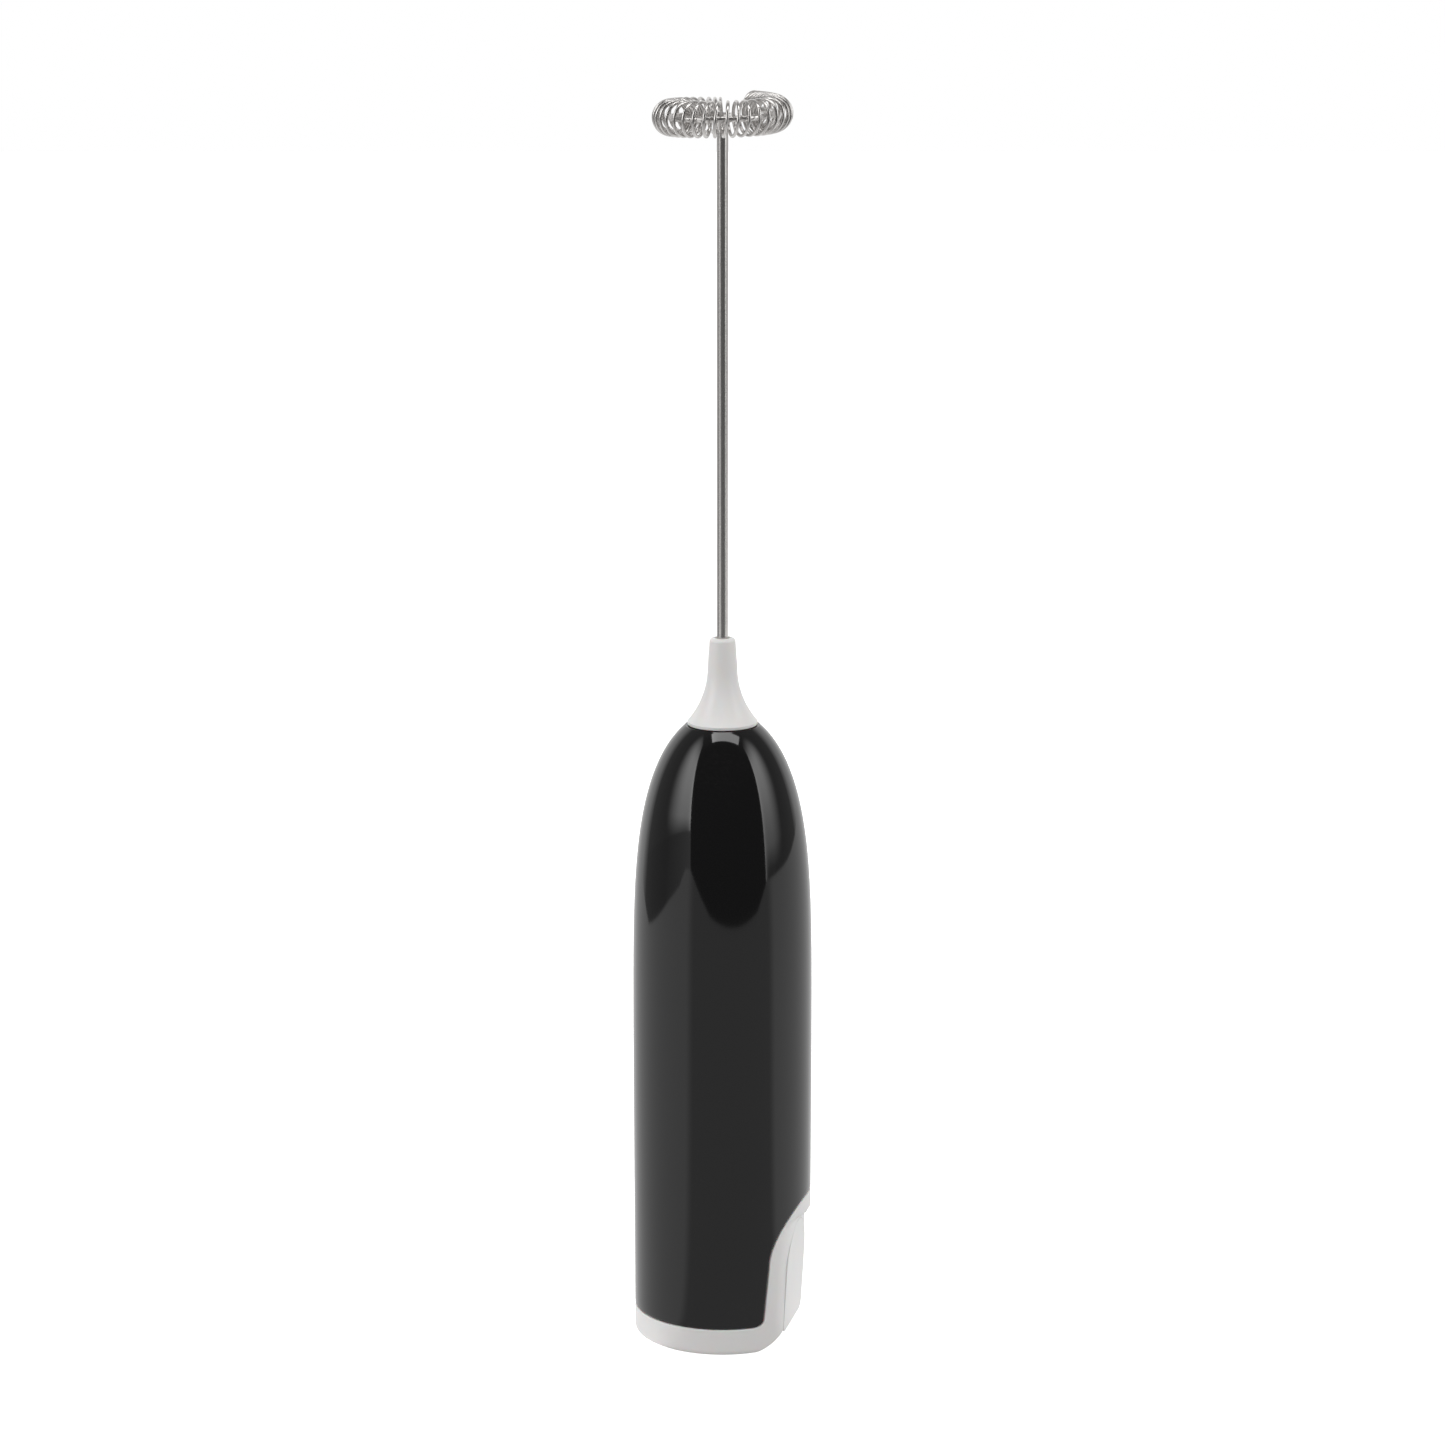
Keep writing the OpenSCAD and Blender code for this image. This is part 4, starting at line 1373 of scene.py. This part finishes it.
@dataclass
class ButtonSet(Assembly):
    """The thumb button with its pivots, the contact bridge and the return spring."""

    base: BaseSet | None = None
    half: float = 7.49
    mid: float = 13.7
    low: float = 2.1
    corner: float = 1.85
    proud: float = 0.03
    depth: float = 1.5
    lip: float = 0.12
    hinge_x: float = 10.8
    hinge_z: float = 19.6
    ear_r: float = 1.5
    ear_near: float = 2.6
    ear_far: float = 4.0
    sharp: float = 30.0

    def build(self, wire: WireRecipe) -> None:
        """Builds and dresses the button and what rides on it.

        Args:
            wire: The tree that sweeps wire.
        """
        self.place(self.plate(), "white_plastic", "thumb_button")
        self.place(self.pivots(), "white_plastic", body="button")
        self.smoothed("contact_bridge", "contact_brass", 0.06)
        self.return_spring(wire)

    def outline(self) -> list[tuple[float, float]]:
        """The button's outline.

        Returns:
            Across and height of each point, all round.
        """
        half, low, corner = self.half, self.low, self.corner
        points = arc(0, self.mid, half, 0, 180, 96)
        steps = 40
        foot = low + corner
        points += [(-half, self.mid + (foot - self.mid) * i / steps) for i in range(1, steps)]
        points += arc(corner - half, foot, corner, 180, 270, 12)
        points += [(corner - half + 2 * (half - corner) * i / 28, low) for i in range(1, 28)]
        points += arc(half - corner, foot, corner, 270, 360, 12)
        points += [(half, foot + (self.mid - foot) * i / steps) for i in range(1, steps)]
        return points

    def front(self, y: float, z: float, inset: float = 0.0) -> float:
        """How far out the button's face is.

        Args:
            y: Across.
            z: Height.
            inset: How far back from the face.

        Returns:
            Distance along X.
        """
        flat = self.base.face_x + self.base.face_lean * z + self.proud
        round_face = math.sqrt(self.handle.radius(z) ** 2 - y * y)
        return smooth_min(flat, round_face, 0.6) - inset

    def plate(self) -> bpy.types.Object:
        """The button's plate, with a rounded edge all round.

        Returns:
            The piece.
        """
        outline = self.outline()
        centre = (0.0, 12.0)

        def ring(scale: float, inset: float, back: float | None = None) -> Row:
            """One ring of the plate.

            Args:
                scale: Size against the outline.
                inset: How far inside the outline.
                back: Depth behind the face.

            Returns:
                The ring's points.
            """
            made = []
            for y, z in outline:
                dy, dz = y - centre[0], z - centre[1]
                size = math.hypot(dy, dz)
                share = scale * (size - inset) / size
                yy, zz = centre[0] + dy * share, centre[1] + dz * share
                made.append((self.front(yy, zz, back or 0.0), yy, zz))
            return made

        rows: list[Row] = [[(self.front(*centre), *centre)]]
        rows += [ring(i / 22, self.lip) for i in range(1, 23)]
        for i in range(1, 6):
            turn = math.radians(90 * i / 5)
            rows.append(ring(1, self.lip * (1 - math.sin(turn)), self.lip * (1 - math.cos(turn))))
        rows.append(ring(1, 0, self.depth - 0.1))
        rows.append(ring(1, 0.1, self.depth))
        rows.append(ring(0.5, 0, self.depth))
        rows.append([(self.front(*centre, self.depth), *centre)])
        return loft("thumb_button_skin", rows)

    def pivots(self) -> bpy.types.Object:
        """The two ears on the hinge pin and the pad that carries the contact bridge.

        Returns:
            The piece.
        """
        form = bmesh.new()
        x1 = self.base.face_x + self.base.face_lean * self.hinge_z - self.depth + 0.3
        near, far, low_z = self.ear_near, self.ear_far, self.hinge_z - self.ear_r
        boxes = [((self.hinge_x, -far, low_z), (x1, -near, self.hinge_z)),
                 ((self.hinge_x, near, low_z), (x1, far, self.hinge_z)),
                 ((11.55, -2.2, 6.5), (12.1, 2.2, 9.5))]
        for low, high in boxes:
            for vert in bmesh.ops.create_cube(form, size=1.0)["verts"]:
                vert.co = Vector([(h if c > 0 else b) * MM
                                  for c, b, h in zip(vert.co, low, high)])
        ear_r, middle = self.ear_r * MM, (near + far) / 2
        for y in (-middle, middle):
            made = bmesh.ops.create_cone(form, cap_ends=True, segments=40, radius1=ear_r,
                                         radius2=ear_r, depth=(far - near) * MM)["verts"]
            bmesh.ops.rotate(form, verts=made, matrix=Euler((math.pi / 2, 0, 0)).to_matrix())
            bmesh.ops.translate(form, verts=made,
                                vec=Vector((self.hinge_x, y, self.hinge_z)) * MM)
        mesh = bpy.data.meshes.new("thumb_button_pivots")
        form.to_mesh(mesh)
        form.free()
        tidy(mesh, self.sharp)
        return rounded(linked("thumb_button_pivots", mesh), 0.12, self.sharp)

    def return_spring(self, wire: WireRecipe) -> None:
        """The torsion spring on the hinge pin.

        Args:
            wire: The tree that sweeps wire.
        """
        span, turn_r, turns = 1.8, 1.15, 4.5
        foot = (9.75, -span, 14.2)
        path = [foot, (self.hinge_x - turn_r, -span, self.hinge_z - 0.6)]
        steps = int(turns * 28)
        for i in range(steps + 1):
            a = math.pi + math.tau * turns * i / steps
            path.append((self.hinge_x + turn_r * math.cos(a), -span + 2 * span * i / steps,
                         self.hinge_z - turn_r * math.sin(a)))
        path.append((self.hinge_x + turn_r - 0.15, span, self.hinge_z - 5))
        self.wire("torsion_spring_skin", path, 0.22, "bright_steel", "torsion_spring", wire)


@dataclass
class WhiskSet(Assembly):
    """The rotor, the coupled shafts and the whisk at their end."""

    shaft_r: float = 1.0
    joint_z: float = 101.3
    ring_z: float = 218.65
    ring_r: float = 8.95
    coil_r: float = 2.9
    wire_r: float = 0.29
    rise: float = 1.3
    hoop_r: float = 0.55
    start: float = 88.0
    end: float = 430.0
    bend: float = 1.4
    turn_r: float = 2.2
    closed_step: float = 5.9

    @property
    def spoke_z(self) -> float:
        """Height of the spoke and of the ring's start."""
        return self.ring_z - self.rise / 2

    @property
    def coil_start(self) -> float:
        """Direction in which the coil starts, in degrees."""
        return self.start + math.degrees(math.atan(self.turn_r / self.ring_r)) + 2

    def build(self, wire: WireRecipe, coil: CoilRecipe) -> None:
        """Builds and dresses everything that turns.

        Args:
            wire: The tree that sweeps wire.
            coil: The tree that winds the coil.
        """
        self.place(self.shaft(), "whisk_steel", "whisk_shaft")
        self.wire("whisk_hoop_skin", self.hoop_path(), self.hoop_r, "whisk_steel", "whisk_hoop",
                  wire, 20)
        self.coil(coil)
        for node, slot in (("motor_shaft", "bright_steel"), ("rotor_core", "core_iron"),
                           ("rotor_windings", "copper"), ("commutator", "copper"),
                           ("shaft_washers", "fibre"), ("shaft_coupler", "contact_brass")):
            self.smoothed(node, slot)

    def shaft(self) -> bpy.types.Object:
        """The whisk shaft, bored at its top for the hoop's leg.

        Returns:
            The piece.
        """
        top, r = self.spoke_z - self.bend - 0.3, self.shaft_r
        profile = [(0.0, self.joint_z), (r - 0.15, self.joint_z), (r, self.joint_z + 0.15)]
        profile += [(r, self.joint_z + (top - 0.5 - self.joint_z) * i / 24) for i in range(1, 25)]
        profile += arc(r - 0.32, top - 0.32, 0.32, 0, 80, 6)
        profile += [(self.hoop_r + 0.02, top - 0.05), (self.hoop_r + 0.02, top - 8), (0.0, top - 8)]
        return turned("whisk_shaft_skin", profile, 48, closed=False)

    def hoop_path(self) -> list[Point]:
        """Centre line of the hoop: leg, bend, spoke, turn and ring.

        Returns:
            The points.
        """
        out = Vector((math.cos(math.radians(self.start)), math.sin(math.radians(self.start)), 0))
        side = Vector((-out.y, out.x, 0))
        up = Vector((0, 0, 1))
        foot = self.spoke_z - self.bend
        path = [up * (foot - 8.2), up * (foot - 4), up * (foot - 1)]
        for i in range(13):
            a = math.radians(90 * i / 12)
            path.append(up * foot + self.bend * ((1 - math.cos(a)) * out + math.sin(a) * up))
        for i in range(13):
            a = math.radians(-90 + 90 * i / 12)
            path.append(out * (self.ring_r - self.turn_r + self.turn_r * math.cos(a))
                        + side * (self.turn_r + self.turn_r * math.sin(a)) + up * self.spoke_z)
        a = self.coil_start + 1
        while a <= self.end + 3:
            share = (a - self.coil_start) / (self.end - self.coil_start)
            z = max(self.spoke_z + self.rise * share, self.spoke_z)
            path.append(Vector((self.ring_r * math.cos(math.radians(a)),
                                self.ring_r * math.sin(math.radians(a)), z)))
            a += 2
        return [tuple(p) for p in path]

    def coil(self, recipe: CoilRecipe) -> None:
        """The fine wire coiled round the hoop.

        Args:
            recipe: The tree that winds it.
        """
        made = mesh_from("whisk_coil_skin", [(0, 0, 0), (0, 0, 1)], (), [(0, 1)])
        recipe.run(made, {
            "Points Per Turn": 40, "First Closed Turns": 2.0, "Open Turns": 30.0,
            "Last Closed Turns": 5.0, "Closed Step": math.radians(self.closed_step),
            "Start Angle": math.radians(self.coil_start), "End Angle": math.radians(self.end),
            "Ring Radius": self.ring_r * MM, "Coil Radius": self.coil_r * MM,
            "Foot Height": self.spoke_z * MM, "Rise": self.rise * MM, "Wander": 0.0,
            "Seed": 7, "Wire Radius": self.wire_r * MM, "Sides": 12,
            "Material": self.finishes["whisk_steel"]})
        tidy(made.data, 50.0)
        self.place(made, "whisk_steel", "whisk_coil")


# ---------------------------------------------------------------------------------------------
# Studio


@dataclass
class Studio:
    """The floor, the lights, the surroundings and the camera."""

    distance: float = 0.741
    height: float = 0.2754
    azimuth: float = 13.0
    pitch: float = 12.413
    focal: float = 107.13
    # floor glow seen in reflections: even at the sides, with painted shade towards the camera
    floor_sides: float = 0.95
    floor_front_shade: float = 0.53
    softbox_rest: float = 0.075
    fill: float = 2.2
    reach: float = 1.5
    shade_middle: float = 11.5
    shade_edge: tuple[float, float] = (0.52, 0.68)
    room_front: float = 0.1
    room_side: float = 0.25
    backdrop: float = 1.0
    sheet: tuple[tuple[float, float], ...] = (
        (-0.33, -0.11), (-0.47, 0.13), (-0.60, 0.38), (-1.6, 1.5), (-0.325, 0.586), (-0.13, 0.46),
        (0.09, 0.41), (0.344, 0.34), (0.70, 0.396), (0.82, 0.137), (0.9, -0.35), (0.9, -2.5),
        (-0.6, -2.5))

    def build(self) -> None:
        """Sets everything up."""
        self.surroundings()
        self.floor()
        self.softboxes()
        self.camera()
        bpy.context.scene.view_settings.view_transform = "Standard"

    def out(self, azimuth: float, elevation: float, distance: float = 1.0) -> Vector:
        """A place seen from the object.

        Args:
            azimuth: Angle to the right of the camera's direction.
            elevation: Angle up.
            distance: How far.

        Returns:
            The place.
        """
        a, e = math.radians(self.azimuth + azimuth), math.radians(elevation)
        return Vector((math.sin(a) * math.cos(e), -math.cos(a) * math.cos(e),
                       math.sin(e))) * distance

    def camera(self) -> None:
        """The camera."""
        data = bpy.data.cameras.new("camera")
        made = linked("camera", data)
        a, p = math.radians(self.azimuth), math.radians(self.pitch)
        made.location = (math.sin(a) * self.distance, -math.cos(a) * self.distance, self.height)
        ahead = Vector((-math.sin(a) * math.cos(p), math.cos(a) * math.cos(p), -math.sin(p)))
        made.rotation_mode = "QUATERNION"
        made.rotation_quaternion = ahead.to_track_quat("-Z", "Y")
        data.sensor_width = 36
        data.lens = self.focal
        data.clip_start = 0.01
        bpy.context.scene.camera = made

    def floor(self) -> None:
        """The pale sheet that the object stands on; its glow in reflections and light is dimmer
        towards the camera, as painted shade.
        """
        shade = bpy.data.materials.new("pale_floor")
        shade.use_nodes = True
        wiring = Wiring(shade.node_tree)
        nodes = shade.node_tree.nodes
        shader, end = nodes["Principled BSDF"], nodes["Material Output"]
        for name, value in (("Base Color", (0.9, 0.9, 0.9, 1)), ("Roughness", 0.9),
                            ("Emission Color", (1, 1, 1, 1)), ("Emission Strength", 0.9)):
            shader.inputs[name].default_value = value
        toward = wiring.node("ShaderNodeVectorMath", operation="NORMALIZE")
        wiring.link(wiring.node("ShaderNodeTexCoord").outputs["Object"], toward.inputs[0])
        away = wiring.node("ShaderNodeVectorMath", operation="DOT_PRODUCT")
        away.inputs[1].default_value = self.out(self.shade_middle, 0)
        wiring.link(toward.outputs[0], away.inputs[0])
        # painted shade: the glow seen in reflections and light falls off towards the camera,
        # standing in for the shade on the table in front of the object
        level = wiring.node("ShaderNodeMapRange", interpolation_type="SMOOTHSTEP")
        for name, value in zip(("From Min", "From Max", "To Min", "To Max"),
                               (*self.shade_edge, self.floor_sides, self.floor_front_shade)):
            level.inputs[name].default_value = value
        wiring.link(away.outputs["Value"], level.inputs["Value"])
        glow = wiring.node("ShaderNodeEmission")
        wiring.link(level.outputs[0], glow.inputs["Strength"])
        pick = wiring.node("ShaderNodeMixShader")
        wiring.link(wiring.node("ShaderNodeLightPath").outputs["Is Camera Ray"],
                    pick.inputs["Fac"])
        wiring.link(glow.outputs[0], pick.inputs[1])
        wiring.link(shader.outputs[0], pick.inputs[2])
        wiring.link(pick.outputs[0], end.inputs["Surface"])
        a = math.radians(self.azimuth)
        right, ahead = Vector((math.cos(a), math.sin(a), 0)), Vector((math.sin(a), -math.cos(a), 0))
        corners = [right * x + ahead * y for x, y in self.sheet]
        made = mesh_from("floor", [tuple((c - Vector((0, 0, 1e-4))) / MM) for c in corners],
                         [tuple(range(len(corners)))])
        made.data.materials.append(shade)

    def surroundings(self) -> None:
        """A bright backdrop behind the object and a dim room in front of it."""
        world = bpy.data.worlds.new("studio")
        bpy.context.scene.world = world
        world.use_nodes = True
        wiring = Wiring(world.node_tree)
        ground = world.node_tree.nodes["Background"]
        behind = wiring.node("ShaderNodeVectorMath", operation="DOT_PRODUCT")
        wiring.link(wiring.node("ShaderNodeTexCoord").outputs["Generated"], behind.inputs[0])
        behind.inputs[1].default_value = -self.out(0, 0)
        level = wiring.node("ShaderNodeValToRGB")
        stops = ((0.0, self.room_front), (0.3, self.room_front), (0.5, self.room_side),
                 (0.74, self.room_side), (0.84, self.backdrop), (1.0, self.backdrop))
        for i, (place, bright) in enumerate(stops):
            stop = level.color_ramp.elements[i] if i < 2 else level.color_ramp.elements.new(place)
            stop.position = place
            stop.color = (bright, bright, bright, 1)
        spread = wiring.node("ShaderNodeMapRange")
        spread.inputs["From Min"].default_value = -1.0
        wiring.link(behind.outputs["Value"], spread.inputs["Value"])
        wiring.link(spread.outputs[0], level.inputs["Fac"])
        path = wiring.node("ShaderNodeLightPath")
        ground.inputs["Color"].default_value = (1, 1, 1, 1)
        wiring.link(wiring.maths("MAXIMUM", path.outputs["Is Camera Ray"],
                                 level.outputs["Color"]), ground.inputs["Strength"])

    def panel(self, name: str, corners: Sequence[Vector], strength: float,
              glow: Callable[[float, float], float], steps: int = 24) -> bpy.types.Object:
        """A softbox or card: a panel with its own spread of brightness.

        Args:
            name: Its name.
            corners: Its corners, in order round it, as directions from the object.
            strength: Its brightness.
            glow: Share of that at a place across (from the first edge) and up, both from 0 to 1.
            steps: Cells each way.

        Returns:
            The panel.
        """
        low, top, far_top, far_low = (corner * self.reach for corner in corners)
        points, shares = [], []
        for i in range(steps + 1):
            for j in range(steps + 1):
                u, v = i / steps, j / steps
                near, far = low.lerp(top, v), far_low.lerp(far_top, v)
                points.append(tuple(near.lerp(far, u)))
                shares.append(glow(u, v))
        faces = [(i * (steps + 1) + j, i * (steps + 1) + j + 1, (i + 1) * (steps + 1) + j + 1,
                  (i + 1) * (steps + 1) + j) for i in range(steps) for j in range(steps)]
        mesh = bpy.data.meshes.new(name)
        mesh.from_pydata(points, [], faces)
        share = mesh.attributes.new("share", "FLOAT", "POINT")
        share.data.foreach_set("value", shares)
        made = linked(name, mesh)
        shade = bpy.data.materials.new(name)
        shade.use_nodes = True
        shade.node_tree.nodes.clear()
        wiring = Wiring(shade.node_tree)
        light = wiring.node("ShaderNodeEmission")
        read = wiring.node("ShaderNodeAttribute", attribute_name="share")
        wiring.link(wiring.maths("MULTIPLY", read.outputs["Fac"], strength),
                    light.inputs["Strength"])
        wiring.link(light.outputs[0], wiring.node("ShaderNodeOutputMaterial").inputs[0])
        mesh.materials.append(shade)
        made.visible_camera = False
        made.visible_shadow = False
        return made

    def softboxes(self) -> None:
        """Softboxes at both sides, overhead and in front, and a card low on the left."""
        out, above = self.out, self.above

        def spread(peak: float, below: float, over: float) -> Callable[[float, float], float]:
            """How the light of a side softbox spreads: even near its edge, then falling away.

            Args:
                peak: Where it is brightest, as a share of its height.
                below: How far that reaches down.
                over: How far it reaches up.

            Returns:
                The share of its brightness at each place.
            """
            def share(u: float, v: float) -> float:
                """Share of the brightness across (u) and up (v)."""
                t = min(max((u - 0.22) / 0.42, 0.0), 1.0)
                fall = 1 - t * t * (3 - 2 * t)
                rise = math.exp(-((v - peak) / (below if v < peak else over)) ** 2)
                rise *= min(v / 0.12, 1.0)
                line = 0.6 * math.exp(-u / 0.03) * (1 - v)
                return max(fall * rise + line, self.softbox_rest)
            return share

        self.panel("softbox_left", [out(-46, 8), out(-68, 58), out(-132, 60), out(-120, -4)],
                   3.7, spread(0.56, 0.75, 0.34))
        self.panel("softbox_right", [out(59, -3), out(66, 56), out(132, 60), out(120, -3)],
                   3.5, spread(0.62, 0.50, 0.24))
        self.panel("softbox_over", [above(-0.29, 0.06), above(-0.29, 0.31), above(0.47, 0.31),
                                    above(0.47, 0.06)],
                   4.3, lambda u, v: 1.0 + 0.5 * math.exp(-u / 0.15), 12)
        self.panel("card_left", [out(-41, -7), out(-45.5, 9.5), out(-119, 9.5), out(-119, -7)],
                   0.62, lambda u, v: 1.0 - 0.6 * min(2 * u, 1.0), 12)
        fill = self.panel("softbox_fill", [out(-20, 30), out(-20, 62), out(20, 62), out(20, 30)],
                          self.fill, lambda u, v: 1.0, 1)
        fill.visible_glossy = False

    def above(self, across: float, ahead: float) -> Vector:
        """A direction overhead.

        Args:
            across: How far to the right, as a share of the height.
            ahead: How far towards the camera, as a share of the height.

        Returns:
            The direction, one unit up.
        """
        a = math.radians(self.azimuth)
        flat = Vector((math.cos(a), math.sin(a), 0)) * across
        return flat + Vector((math.sin(a), -math.cos(a), 0)) * ahead + Vector((0, 0, 1))


def main() -> None:
    """Builds the frother, sub-assembly by sub-assembly, and the studio round it."""
    logging.basicConfig(level=logging.INFO, format="%(message)s")
    finishes = Finishes()
    wire, coil = WireRecipe(), CoilRecipe()
    base = BaseSet(finishes)
    base.build(wire)
    ButtonSet(finishes, base=base).build(wire)
    HousingSet(finishes).build(wire)
    WhiskSet(finishes).build(wire, coil)
    Studio().build()


if __name__ == "__main__":
    main()
